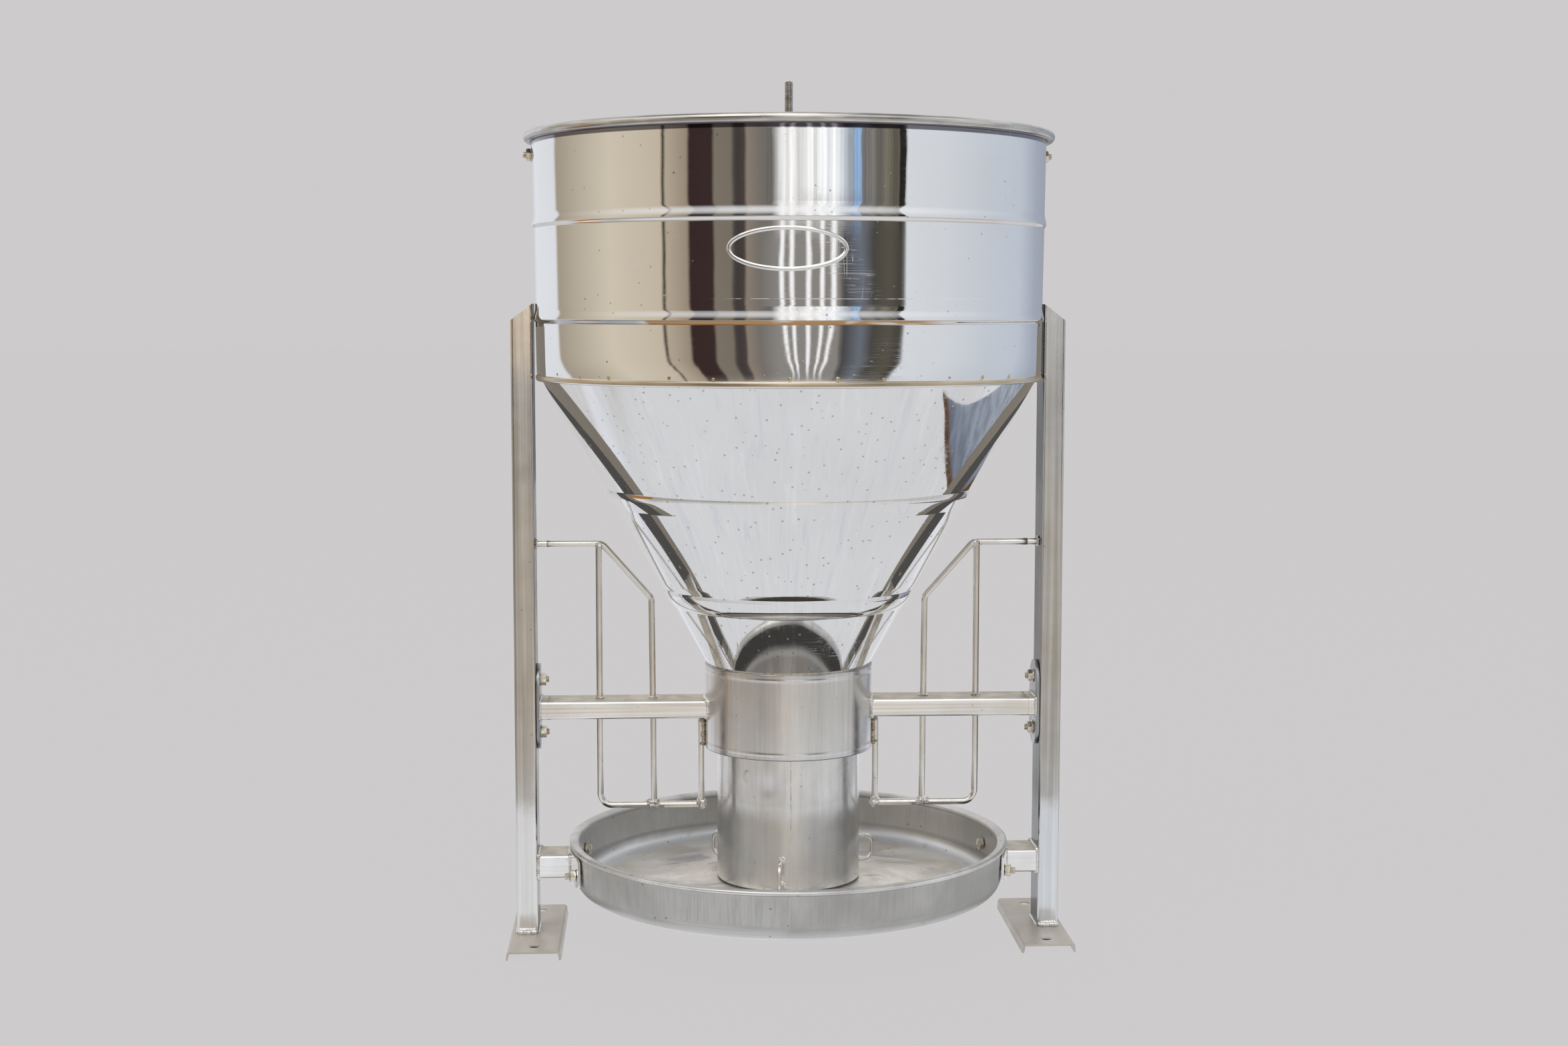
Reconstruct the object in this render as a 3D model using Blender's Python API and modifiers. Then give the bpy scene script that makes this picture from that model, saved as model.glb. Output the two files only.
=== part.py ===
"""Round stainless dry feeder for pigs.

A rolled drum over a cone stands in a short collar between two legs. A drop tube hangs under the
cone on a threaded rod and reaches into a round trough: turning the tube lets feed run out of the
gap under it, and the nut on the rod sets that gap.

Metres, +Z up. The origin is on the floor, on the vertical axis of the hopper. X runs from the
left leg to the right leg, and -Y is the front.
"""

import math

import bmesh
import bpy
from mathutils import Vector

# ---------------------------------------------------------------- driving dimensions (metres)
GAP = 0.0003  # left between pieces that touch
ROUND = 48  # facets round a shell

# hopper
DRUM_R_TOP = 0.3005  # outside, at DRUM_Z_TOP
DRUM_R_BOTTOM = 0.2972  # outside, at DRUM_Z_BOTTOM
DRUM_Z_TOP = 0.9400
DRUM_Z_BOTTOM = 0.6725
DRUM_SHEET = 0.0010
RIM_R = 0.3050  # centre of the wired rim
RIM_Z = 0.9540
RIM_WIRE = 0.0055
DRUM_BEADS = ((0.8660, 0.8484), (0.7570, 0.7395))  # upper and lower edge of each
DRUM_BEAD_OUT = 0.0022
HEM_HIGH = 0.0067
HEM_OUT = 0.0011

CONE_SLOPE = 0.5744  # radius gained for each metre of height
CONE_R = 0.2943  # outside, at CONE_Z
CONE_Z = 0.6780
CONE_SHEET = 0.0010
CONE_FLANGE_R = 0.2959
CONE_FLANGE_TOP = 0.7000
CONE_BEADS = ((0.5450, 0.5230), (0.4250, 0.4060))
CONE_BEAD_OUT = 0.0024
SPOUT_R = 0.0795
SPOUT_END = 0.2620

# hanging rod and its cross bar
ROD_R = 0.0050
ROD_TOP = 1.0213
ROD_END = 0.1840
ROD_CLEAR = 0.0058
NUT_BORE = ROD_R + GAP
BAR_TOP = 0.9502
BAR_THICK = 0.0040
BAR_WIDE = 0.0300
BAR_HALF = 0.2979
BAR_TAB_END = 0.9210
SIDE_BOLT_Z = 0.9350
M8_R = 0.0040
M8_AF = 0.0130
M10_AF = 0.0170

# collar, beams and legs
COLLAR_R = 0.1002
COLLAR_SHEET = 0.0015
COLLAR_Z = (0.2324, 0.3343)
COLLAR_LIP_R = 0.0973
BEAM_Z = (0.2700, 0.2915)
BEAM_DEEP = 0.0490
TUBE_WALL = 0.0015
PLATE_OUT = 0.3009  # outer face of the end plate
PLATE_THICK = 0.0040
PLATE_HIGH = 0.1030
PLATE_DEEP = 0.0500
PLATE_Z = 0.2828
STUD_Z = (0.2515, 0.3150)
LEG_X = 0.3139
LEG_WIDE = 0.0254
LEG_DEEP = 0.0508
LEG_CORNER = 0.0030
LEG_Z = 0.0113
LEG_TOP_IN = 0.7620
LEG_TOP_OUT = 0.7425
FOOT_X = 0.3030
FOOT_LONG = 0.2040
FOOT_TOP_WIDE = 0.0610
FOOT_FLOOR_WIDE = 0.0645
FOOT_HIGH = 0.0110
FOOT_SHEET = 0.0023
FOOT_HOLE_R = 0.00675
FOOT_HOLE_Y = 0.0780

# trough and what carries it
TRAY_RIM_R = 0.2640
TRAY_RIM_TOP = 0.1225
TRAY_WALL_TOP_R = 0.2595
TRAY_WALL_END_R = 0.2577
TRAY_SHEET = 0.0030
TRAY_BOTTOM = 0.0615  # underside of the ring at the foot of the wall
TRAY_CORNER = 0.0200
TRAY_FILLET = 0.0170
TRAY_RISE = 0.0075  # the middle of the floor stands this much higher
TRAY_RISE_R = (0.1050, 0.2000)  # flat inside the first, falling to the ring at the second
STUB_Z = (0.0780, 0.1055)
BRACKET_R = (0.2604, 0.2634)
BRACKET_Z = (0.0780, 0.1135)
BRACKET_SPAN = 17.5  # degrees to either side
TRAY_BOLT_AT = 14.75  # degrees to either side of the leg
TRAY_BOLT_Z = 0.0920
TRAY_BOLT_R = (0.2541, 0.2755)

# drop tube
TUBE_R = (0.0850, 0.0860)  # outside, top and bottom
TUBE_Z = (0.2780, 0.0745)
TUBE_SHEET = 0.0012
BRIDGE_TOP = 0.2000
BRIDGE_THICK = 0.0040
BRIDGE_WIDE = 0.0250
BRIDGE_HALF = 0.0822
LOOP_WIRE = 0.0050
LOOP_AZIMUTHS = (-98.5, 21.5, 141.5)
LOOP_Z = (0.0810, 0.1110)
LOOP_REACH = 0.1160

# side guards of round bar
GATE_BAR = 0.0080
GATE_A = 0.2265
GATE_B = 0.1630
GATE_C = 0.1052
GATE_TOP = 0.4780
GATE_LOW = 0.1610

AGITATORS = (("upper", 0.560, 0.100, 0.0), ("middle", 0.470, 0.080, 60.0), ("lower", 0.380, 0.055, 120.0))

# ---------------------------------------------------------------- scene and helpers
for old in list(bpy.data.objects):
    bpy.data.objects.remove(old, do_unlink=True)

parts = bpy.data.collections.new("automatic_feeder")
helpers = bpy.data.collections.new("cutters")
bpy.context.scene.collection.children.link(parts)
bpy.context.scene.collection.children.link(helpers)

POLISHED = ((0.72, 0.71, 0.70), 0.10)
BRUSHED = ((0.58, 0.57, 0.55), 0.34)
ALUMINIUM = ((0.60, 0.60, 0.60), 0.42)
ZINC = ((0.62, 0.57, 0.47), 0.30)


def give_material(obj, name, finish):
    colour, roughness = finish
    made = bpy.data.materials.new(name + "_finish")
    made.use_nodes = True
    shader = made.node_tree.nodes["Principled BSDF"]
    shader.inputs["Base Color"].default_value = (*colour, 1.0)
    shader.inputs["Roughness"].default_value = roughness
    shader.inputs["Metallic"].default_value = 1.0
    made.diffuse_color = (*colour, 1.0)
    obj.data.materials.clear()
    obj.data.materials.append(made)


def put(obj, location=(0, 0, 0), rotation=(0, 0, 0)):
    obj.location = location
    obj.rotation_euler = rotation
    return obj


def part(obj, name, finish, location=(0, 0, 0), rotation=(0, 0, 0), parent=None):
    """Names the piece, files it with the parts and places it."""
    obj.name = name
    obj.data.name = name
    parts.objects.link(obj)
    give_material(obj, name, finish)
    put(obj, location, rotation)
    if parent is not None:
        obj.parent = parent
        obj.location = Vector(location) - parent.location
    return obj


def helper(obj, name, location=(0, 0, 0), rotation=(0, 0, 0)):
    """Files a cutter, or a piece that a union takes in, out of the render."""
    obj.name = name
    helpers.objects.link(obj)
    put(obj, location, rotation)
    obj.hide_render = True
    obj.display_type = "WIRE"
    return obj


def boolean(obj, other, operation):
    step = obj.modifiers.new(operation.title() + " " + other.name, "BOOLEAN")
    step.operation = operation
    step.solver = "EXACT"
    step.object = other


def turned(profile, closed=True, facets=ROUND):
    """A profile of (radius, height), down its outer side first, turned about Z."""
    mesh = bpy.data.meshes.new("turned")
    count = len(profile)
    edges = [(i, i + 1) for i in range(count - 1)]
    if closed:
        edges.append((count - 1, 0))
    mesh.from_pydata([(r, 0.0, z) for r, z in profile], edges, [])
    obj = bpy.data.objects.new("turned", mesh)
    screw = obj.modifiers.new("Turn", "SCREW")
    screw.axis = "Z"
    screw.angle = math.tau
    screw.steps = facets
    screw.render_steps = facets
    screw.use_merge_vertices = True
    screw.merge_threshold = 0.00001
    screw.use_smooth_shade = True
    return obj


def offset_line(points, distance):
    """The line moved inwards by a sheet's thickness, mitred at its bends."""
    moved = []
    for i, point in enumerate(points):
        normals = []
        for a, b in ((i - 1, i), (i, i + 1)):
            if a >= 0 and b < len(points):
                dr, dz = points[b][0] - points[a][0], points[b][1] - points[a][1]
                length = math.hypot(dr, dz)
                normals.append((-dz / length, dr / length))
        mean = (sum(n[0] for n in normals), sum(n[1] for n in normals))
        size = math.hypot(*mean)
        mean = (mean[0] / size, mean[1] / size)
        reach = distance / (mean[0] * normals[0][0] + mean[1] * normals[0][1])
        moved.append((point[0] - mean[0] * reach, point[1] - mean[1] * reach))
    return moved


def sheet_loop(outer, thickness):
    return outer + offset_line(outer, thickness)[::-1]


def arc(centre, radius, start, stop, steps):
    """Points on an arc, in degrees, both ends included."""
    found = []
    for i in range(steps + 1):
        a = math.radians(start + (stop - start) * i / steps)
        found.append((centre[0] + radius * math.cos(a), centre[1] + radius * math.sin(a)))
    return found


def circle(radius, sides, centre=(0.0, 0.0)):
    return arc(centre, radius, 0.0, 360.0 * (sides - 1) / sides, sides - 1)


def rounded_rectangle(wide, deep, corner, steps=3):
    points = []
    x, y = wide / 2 - corner, deep / 2 - corner
    for cx, cy, start in ((x, y, 0), (-x, y, 90), (-x, -y, 180), (x, -y, 270)):
        points += arc((cx, cy), corner, start, start + 90, steps)
    return points


def outline(loops, thickness):
    """A flat outline, with any holes, as thick as asked and centred on its plane."""
    curve = bpy.data.curves.new("outline", "CURVE")
    curve.dimensions = "2D"
    curve.fill_mode = "BOTH"
    curve.extrude = thickness / 2
    for loop in loops:
        spline = curve.splines.new("POLY")
        spline.points.add(len(loop) - 1)
        for point, (x, y) in zip(spline.points, loop):
            point.co = (x, y, 0.0, 1.0)
        spline.use_cyclic_u = True
    return as_mesh(bpy.data.objects.new("outline", curve))


def bent(points, radius, steps=4):
    """The points of a bar bent at each corner to this radius."""
    vectors = [Vector(p) for p in points]
    path = [vectors[0]]
    for before, corner, after in zip(vectors, vectors[1:], vectors[2:]):
        into, out = (before - corner).normalized(), (after - corner).normalized()
        half = into.angle(out) / 2
        reach = radius / math.tan(half)
        centre = corner + (into + out).normalized() * radius / math.sin(half)
        start = (corner + into * reach - centre).normalized()
        stop = (corner + out * reach - centre).normalized()
        for i in range(steps + 1):
            path.append(centre + start.slerp(stop, i / steps) * radius)
    path.append(vectors[-1])
    return path


def bar(points, diameter, resolution=2):
    """A round bar along these points."""
    curve = bpy.data.curves.new("bar", "CURVE")
    curve.dimensions = "3D"
    curve.bevel_depth = diameter / 2
    curve.bevel_resolution = resolution
    curve.use_fill_caps = True
    spline = curve.splines.new("POLY")
    spline.points.add(len(points) - 1)
    for point, place in zip(spline.points, points):
        point.co = (*place, 1.0)
    return as_mesh(bpy.data.objects.new("bar", curve))


def as_mesh(obj):
    """The curve as a mesh with its caps welded, ready for a union or a cut."""
    bpy.context.scene.collection.objects.link(obj)
    bpy.context.view_layer.update()
    graph = bpy.context.evaluated_depsgraph_get()
    mesh = bpy.data.meshes.new_from_object(obj.evaluated_get(graph))
    made = bpy.data.objects.new(obj.name, mesh)
    made.matrix_world = obj.matrix_world
    curve = obj.data
    bpy.data.objects.remove(obj, do_unlink=True)
    bpy.data.curves.remove(curve)
    shape = bmesh.new()
    shape.from_mesh(mesh)
    bmesh.ops.remove_doubles(shape, verts=shape.verts, dist=0.000001)
    bmesh.ops.recalc_face_normals(shape, faces=shape.faces)
    shape.to_mesh(mesh)
    shape.free()
    mesh.shade_smooth()
    mesh.set_sharp_from_angle(angle=math.radians(40))
    return made


def cylinder(radius, length, sides=24, centred=True):
    """A cylinder along Z."""
    mesh = bpy.data.meshes.new("cylinder")
    shape = bmesh.new()
    bmesh.ops.create_cone(shape, cap_ends=True, segments=sides, radius1=radius, radius2=radius, depth=length)
    if not centred:
        bmesh.ops.translate(shape, verts=shape.verts, vec=(0, 0, length / 2))
    shape.to_mesh(mesh)
    shape.free()
    mesh.shade_smooth()
    mesh.set_sharp_from_angle(angle=math.radians(40))
    return bpy.data.objects.new("cylinder", mesh)


def block(x, y, z):
    mesh = bpy.data.meshes.new("block")
    shape = bmesh.new()
    bmesh.ops.create_cube(shape, size=1.0)
    bmesh.ops.scale(shape, verts=shape.verts, vec=(x, y, z))
    shape.to_mesh(mesh)
    shape.free()
    return bpy.data.objects.new("block", mesh)


def hexagon(across_flats, high):
    """A hexagon standing on the plane, along Z."""
    return cylinder(across_flats / math.sqrt(3), high, sides=6, centred=False)


def threaded_end(radius, length, chamfer=0.0008, facets=16):
    """A plain shank along Z with a chamfered far end."""
    profile = [(0.0, length), (radius - chamfer, length), (radius, length - chamfer), (radius, 0.0), (0.0, 0.0)]
    return turned(profile, closed=False, facets=facets)


def nut(name, across_flats, high, bore, flange=None):
    """A nut along Z, with its bearing face on the plane."""
    loops = [circle(across_flats / math.sqrt(3), 6), circle(bore, 16)]
    if flange is None:
        made = outline(loops, high)
        made.data.transform(move_z(high / 2))
        return made
    radius, thick = flange
    made = hexagon(across_flats, high)
    boolean(made, helper(cylinder(radius, thick, sides=20, centred=False), name + "_flange"), "UNION")
    boolean(made, helper(cylinder(bore, high * 4, sides=16), name + "_bore"), "DIFFERENCE")
    return made


def move_z(distance):
    from mathutils import Matrix

    return Matrix.Translation((0, 0, distance))


def follow(obj, *cutters):
    """Places the cutters that were made in a piece's own frame where the piece stands."""
    for cutter in cutters:
        cutter.parent = obj


# Empties on the axes of the two motions: the nuts turn on the cross bar, and the rod with the
# drop tube rises and falls in them.
nut_axis = bpy.data.objects.new("height_nut_axis", None)
nut_axis.location = (0, 0, BAR_TOP)
parts.objects.link(nut_axis)
tube_axis = bpy.data.objects.new("feed_tube_axis", None)
tube_axis.location = (0, 0, TUBE_Z[1])
parts.objects.link(tube_axis)

SIDES = (("left", math.pi), ("right", 0.0))
QUARTER = math.pi / 2


# ---------------------------------------------------------------- hopper
def drum_r(z):
    """Outside radius of the drum: it narrows a little towards its bottom."""
    share = min(1.0, max(0.0, (DRUM_Z_TOP - z) / (DRUM_Z_TOP - DRUM_Z_BOTTOM)))
    return DRUM_R_TOP + (DRUM_R_BOTTOM - DRUM_R_TOP) * share


def drum_profile():
    rim = arc((RIM_R, RIM_Z), RIM_WIRE, 180, -140, 8)
    wall = []
    for top, low in DRUM_BEADS:
        crest = low + 0.0042
        wall += [
            (drum_r(top), top),
            (drum_r(crest) + DRUM_BEAD_OUT, crest),
            (drum_r(low) + 0.0004, low + 0.0010),
            (drum_r(low), low),
        ]
    top = DRUM_Z_BOTTOM + HEM_HIGH
    hem = [
        (drum_r(top), top),
        (drum_r(top) + HEM_OUT, top - 0.0010),
        (drum_r(DRUM_Z_BOTTOM) + HEM_OUT, DRUM_Z_BOTTOM + 0.0008),
        (drum_r(DRUM_Z_BOTTOM) + HEM_OUT - 0.0006, DRUM_Z_BOTTOM),
        (drum_r(DRUM_Z_BOTTOM) - DRUM_SHEET, DRUM_Z_BOTTOM),
    ]
    inner = [(r - DRUM_SHEET, z) for r, z in wall if (r, z)][::-1]
    return rim + wall + hem + inner


def side_hole(index, turn):
    """A cutter for a bolt through the drum's wall and the cross bar's tab."""
    cutter = cylinder(M8_R + GAP, 0.030, sides=16)
    return helper(
        cutter,
        "side_hole_" + index,
        (BAR_HALF * math.cos(turn), 0, SIDE_BOLT_Z),
        (0, QUARTER, turn),
    )


side_holes = [side_hole(side, turn) for side, turn in SIDES]

drum = part(turned(drum_profile()), "hopper_cylinder", POLISHED)
for cutter in side_holes:
    boolean(drum, cutter, "DIFFERENCE")


def cone_r(z):
    return CONE_R + CONE_SLOPE * (z - CONE_Z)


def cone_z(r):
    return CONE_Z + (r - CONE_R) / CONE_SLOPE


def cone_profile():
    tilt = math.hypot(1.0, CONE_SLOPE)
    normal = (1.0 / tilt, -CONE_SLOPE / tilt)
    line = [(CONE_FLANGE_R, CONE_FLANGE_TOP), (CONE_FLANGE_R, cone_z(CONE_FLANGE_R))]
    for top, low in CONE_BEADS:
        crest = low + 0.0048
        line += [
            (cone_r(top), top),
            (cone_r(crest) + normal[0] * CONE_BEAD_OUT, crest + normal[1] * CONE_BEAD_OUT),
            (cone_r(low), low - 0.0006),
        ]
    line += [(SPOUT_R, cone_z(SPOUT_R)), (SPOUT_R, SPOUT_END)]
    return sheet_loop(line, CONE_SHEET)


part(turned(cone_profile()), "hopper_cone", POLISHED)

# ---------------------------------------------------------------- cross bar, side bolts and rod
bar_low = BAR_TOP - BAR_THICK
tab_in = BAR_HALF - BAR_THICK
cross_outline = [
    (-BAR_HALF, BAR_TAB_END),
    (-tab_in, BAR_TAB_END),
    (-tab_in, bar_low),
    (tab_in, bar_low),
    (tab_in, BAR_TAB_END),
    (BAR_HALF, BAR_TAB_END),
    (BAR_HALF, BAR_TOP - 0.0015),
    (BAR_HALF - 0.0015, BAR_TOP),
    (-BAR_HALF + 0.0015, BAR_TOP),
    (-BAR_HALF, BAR_TOP - 0.0015),
]
cross_bar = part(outline([cross_outline], BAR_WIDE), "cross_bar", BRUSHED, rotation=(QUARTER, 0, 0))
for cutter in side_holes:
    boolean(cross_bar, cutter, "DIFFERENCE")
boolean(cross_bar, helper(cylinder(ROD_CLEAR, 0.03), "cross_bar_rod_hole", (0, 0, BAR_TOP)), "DIFFERENCE")

SIDE_HEAD_FACE = tab_in - GAP  # where the head bears on the tab
SIDE_WASHER = DRUM_R_TOP + GAP
SIDE_NUT = SIDE_WASHER + 0.0010 + GAP
for side, turn in SIDES:
    across = math.cos(turn)
    shank = threaded_end(M8_R, 0.3113 - SIDE_HEAD_FACE + 0.0010)
    part(shank, "side_bolt_" + side, ZINC, (across * (SIDE_HEAD_FACE - 0.0010), 0, SIDE_BOLT_Z), (0, QUARTER, turn))
    head = helper(hexagon(M8_AF, 0.0053), "side_bolt_head_" + side, (0, 0, 0.0010 - 0.0053))
    follow(shank, head)
    boolean(shank, head, "UNION")
    washer = outline([circle(0.0090, 20), circle(M8_R + GAP, 16)], 0.0010)
    part(washer, "side_washer_" + side, ZINC, (across * (SIDE_WASHER + 0.0005), 0, SIDE_BOLT_Z), (0, QUARTER, turn))
    made = nut("side_nut_" + side, M8_AF, 0.0052, M8_R + GAP)
    part(made, "side_nut_" + side, ZINC, (across * SIDE_NUT, 0, SIDE_BOLT_Z), (0, QUARTER, turn))

rod = threaded_end(ROD_R, ROD_TOP - ROD_END, chamfer=0.0010)
part(rod, "threaded_rod", BRUSHED, (0, 0, ROD_END), parent=tube_axis)

WASHER_Z = BAR_TOP + GAP
washer = outline([circle(0.0125, 20), circle(NUT_BORE, 16)], 0.0020)
part(washer, "rod_washer", ZINC, (0, 0, WASHER_Z + 0.0010), parent=nut_axis)
NUT_Z = WASHER_Z + 0.0020 + GAP
part(nut("adjusting_nut", M10_AF, 0.0080, NUT_BORE), "adjusting_nut", ZINC, (0, 0, NUT_Z), parent=nut_axis)
JAM_Z = NUT_Z + 0.0080 + GAP
part(nut("jam_nut", M10_AF, 0.0050, NUT_BORE), "jam_nut", ZINC, (0, 0, JAM_Z), parent=nut_axis)

for name, z, half, azimuth in AGITATORS:
    a = math.radians(azimuth)
    away = ROD_R + GATE_BAR / 2 + GAP
    arm = bar([(-half, 0, 0), (half, 0, 0)], GATE_BAR, resolution=2)
    place = (-math.sin(a) * away, math.cos(a) * away, z)
    part(arm, "agitator_bar_" + name, BRUSHED, place, (0, 0, a), parent=tube_axis)

# ---------------------------------------------------------------- collar, beams, end plates
collar_in = COLLAR_R - COLLAR_SHEET
collar_profile = [
    (COLLAR_R, COLLAR_Z[1]),
    (COLLAR_R, COLLAR_Z[0]),
    (collar_in, COLLAR_Z[0]),
    (collar_in, COLLAR_Z[1] - 0.0022),
    (COLLAR_LIP_R, COLLAR_Z[1] - 0.0014),
    (COLLAR_LIP_R, COLLAR_Z[1]),
]
part(turned(collar_profile), "collar_ring", BRUSHED)


def box_tube(wide, deep, long, corner):
    """A rectangular tube along Z, centred, with rounded corners and open ends."""
    mesh = bpy.data.meshes.new("box_tube")
    shape = bmesh.new()
    ring = [shape.verts.new((x, y, -long / 2)) for x, y in rounded_rectangle(wide, deep, corner)]
    sides = [shape.edges.new((a, b)) for a, b in zip(ring, ring[1:] + ring[:1])]
    drawn = bmesh.ops.extrude_edge_only(shape, edges=sides)["geom"]
    moved = [v for v in drawn if isinstance(v, bmesh.types.BMVert)]
    bmesh.ops.translate(shape, verts=moved, vec=(0, 0, long))
    bmesh.ops.recalc_face_normals(shape, faces=shape.faces)
    shape.to_mesh(mesh)
    shape.free()
    mesh.shade_smooth()
    mesh.set_sharp_from_angle(angle=math.radians(40))
    tube = bpy.data.objects.new("box_tube", mesh)
    wall = tube.modifiers.new("Wall", "SOLIDIFY")
    wall.thickness = TUBE_WALL
    wall.offset = -1.0
    wall.use_even_offset = True
    return tube


beam_high = BEAM_Z[1] - BEAM_Z[0]
beam_z = (BEAM_Z[0] + BEAM_Z[1]) / 2
BEAM_END = PLATE_OUT - PLATE_THICK - GAP
BEAM_START = 0.0930
collar_clear = helper(cylinder(COLLAR_R + GAP, 0.2, sides=ROUND), "collar_clearance", (0, 0, beam_z))
for side, turn in SIDES:
    across = math.cos(turn)
    beam = box_tube(beam_high, BEAM_DEEP, BEAM_END - BEAM_START, LEG_CORNER)
    middle = (BEAM_START + BEAM_END) / 2
    part(beam, "beam_" + side, BRUSHED, (across * middle, 0, beam_z), (0, QUARTER, turn))
    boolean(beam, collar_clear, "DIFFERENCE")

    rise = PLATE_HIGH / 2 - PLATE_DEEP / 2
    oblong = arc((rise, 0), PLATE_DEEP / 2, -90, 90, 8) + arc((-rise, 0), PLATE_DEEP / 2, 90, 270, 8)
    holes = [circle(M8_R + GAP, 16, (PLATE_Z - z, 0.0)) for z in STUD_Z]
    plate = outline([oblong] + holes, PLATE_THICK)
    part(
        plate,
        "end_plate_" + side,
        BRUSHED,
        (across * (PLATE_OUT - PLATE_THICK / 2), 0, PLATE_Z),
        (0, QUARTER, turn),
    )
    for level, z in zip(("lower", "upper"), STUD_Z):
        stud = threaded_end(M8_R, 0.0142)
        part(stud, f"plate_stud_{side}_{level}", ZINC, (across * (PLATE_OUT), 0, z), (0, -QUARTER, turn))
        made = nut(f"plate_nut_{side}_{level}", M8_AF, 0.0068, M8_R + GAP, flange=(0.0083, 0.0010))
        place = (across * (PLATE_OUT - PLATE_THICK - GAP), 0, z)
        part(made, f"plate_nut_{side}_{level}", ZINC, place, (0, -QUARTER, turn))
        bore_and_flange = [m.object for m in made.modifiers]
        follow(made, *bore_and_flange)

# ---------------------------------------------------------------- legs and feet
leg_tilt = math.atan2(LEG_TOP_IN - LEG_TOP_OUT, LEG_WIDE)
for side, turn in SIDES:
    across = math.cos(turn)
    leg_top = LEG_TOP_IN + 0.01
    leg = box_tube(LEG_WIDE, LEG_DEEP, leg_top - LEG_Z, LEG_CORNER)
    part(leg, "leg_" + side, BRUSHED, (across * LEG_X, 0, (leg_top + LEG_Z) / 2), (0, 0, turn))
    size = 0.12
    cut_z = (LEG_TOP_IN + LEG_TOP_OUT) / 2
    reach = size / 2
    mitre = helper(
        block(size, size, size),
        "mitre_" + side,
        (across * (LEG_X + reach * math.sin(leg_tilt)), 0, cut_z + reach * math.cos(leg_tilt)),
        (0, leg_tilt, turn),
    )
    boolean(leg, mitre, "DIFFERENCE")

    half_top, half_floor = FOOT_TOP_WIDE / 2, FOOT_FLOOR_WIDE / 2
    # The fold of the channel, seen along its length: flange, bend, top, bend, flange.
    fold = bent(
        [(half_floor, 0, 0), (half_top, FOOT_HIGH, 0), (-half_top, FOOT_HIGH, 0), (-half_floor, 0, 0)], 0.0038, 3
    )
    skin = [(p.x, p.y) for p in fold]
    inside = offset_line(skin[::-1], FOOT_SHEET)
    # The flanges end flat on the floor.
    inside[0] = (inside[0][0], 0.0)
    inside[-1] = (inside[-1][0], 0.0)
    foot = outline([skin + inside], FOOT_LONG)
    part(foot, "foot_" + side, BRUSHED, (across * FOOT_X, 0, 0), (QUARTER, 0, turn))
    plan = outline([rounded_rectangle(FOOT_FLOOR_WIDE + 0.0004, FOOT_LONG - 0.0002, 0.0080, 4)], 0.05)
    boolean(foot, helper(plan, "foot_plan_" + side, (across * FOOT_X, 0, 0)), "INTERSECT")
    for end in (-1, 1):
        hole = cylinder(FOOT_HOLE_R, 0.05, sides=20)
        hole = helper(hole, f"foot_hole_{side}_{end + 1}", (across * FOOT_X, end * FOOT_HOLE_Y, 0))
        boolean(foot, hole, "DIFFERENCE")

# ---------------------------------------------------------------- trough, brackets and stubs
tray_corner_r = TRAY_WALL_END_R - TRAY_CORNER
tray_inner_r = TRAY_WALL_END_R - TRAY_SHEET - TRAY_FILLET
tray_floor = TRAY_BOTTOM + TRAY_SHEET
tray_profile = (
    [(0.0, tray_floor + TRAY_RISE), (TRAY_RISE_R[0], tray_floor + TRAY_RISE), (TRAY_RISE_R[1], tray_floor)]
    + arc((tray_inner_r, TRAY_BOTTOM + TRAY_SHEET + TRAY_FILLET), TRAY_FILLET, -90, 0, 4)
    + [(TRAY_WALL_TOP_R - TRAY_SHEET, 0.1140), (TRAY_RIM_R - 0.0106, 0.1162)]
    + [(TRAY_RIM_R - 0.0118, 0.1184), (TRAY_RIM_R - 0.0110, 0.1210), (TRAY_RIM_R - 0.0084, TRAY_RIM_TOP)]
    + [(TRAY_RIM_R - 0.0022, TRAY_RIM_TOP - 0.0002), (TRAY_RIM_R - 0.0004, TRAY_RIM_TOP - 0.0014)]
    + [(TRAY_RIM_R, TRAY_RIM_TOP - 0.0034), (TRAY_RIM_R - 0.0014, 0.1168), (TRAY_WALL_TOP_R, 0.1160)]
    + arc((tray_corner_r, TRAY_BOTTOM + TRAY_CORNER), TRAY_CORNER, 0, -90, 5)
    + [(TRAY_RISE_R[1], TRAY_BOTTOM), (TRAY_RISE_R[0], TRAY_BOTTOM + TRAY_RISE), (0.0, TRAY_BOTTOM + TRAY_RISE)]
)
tray = part(turned(tray_profile, closed=False), "feed_tray", ALUMINIUM)

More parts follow.
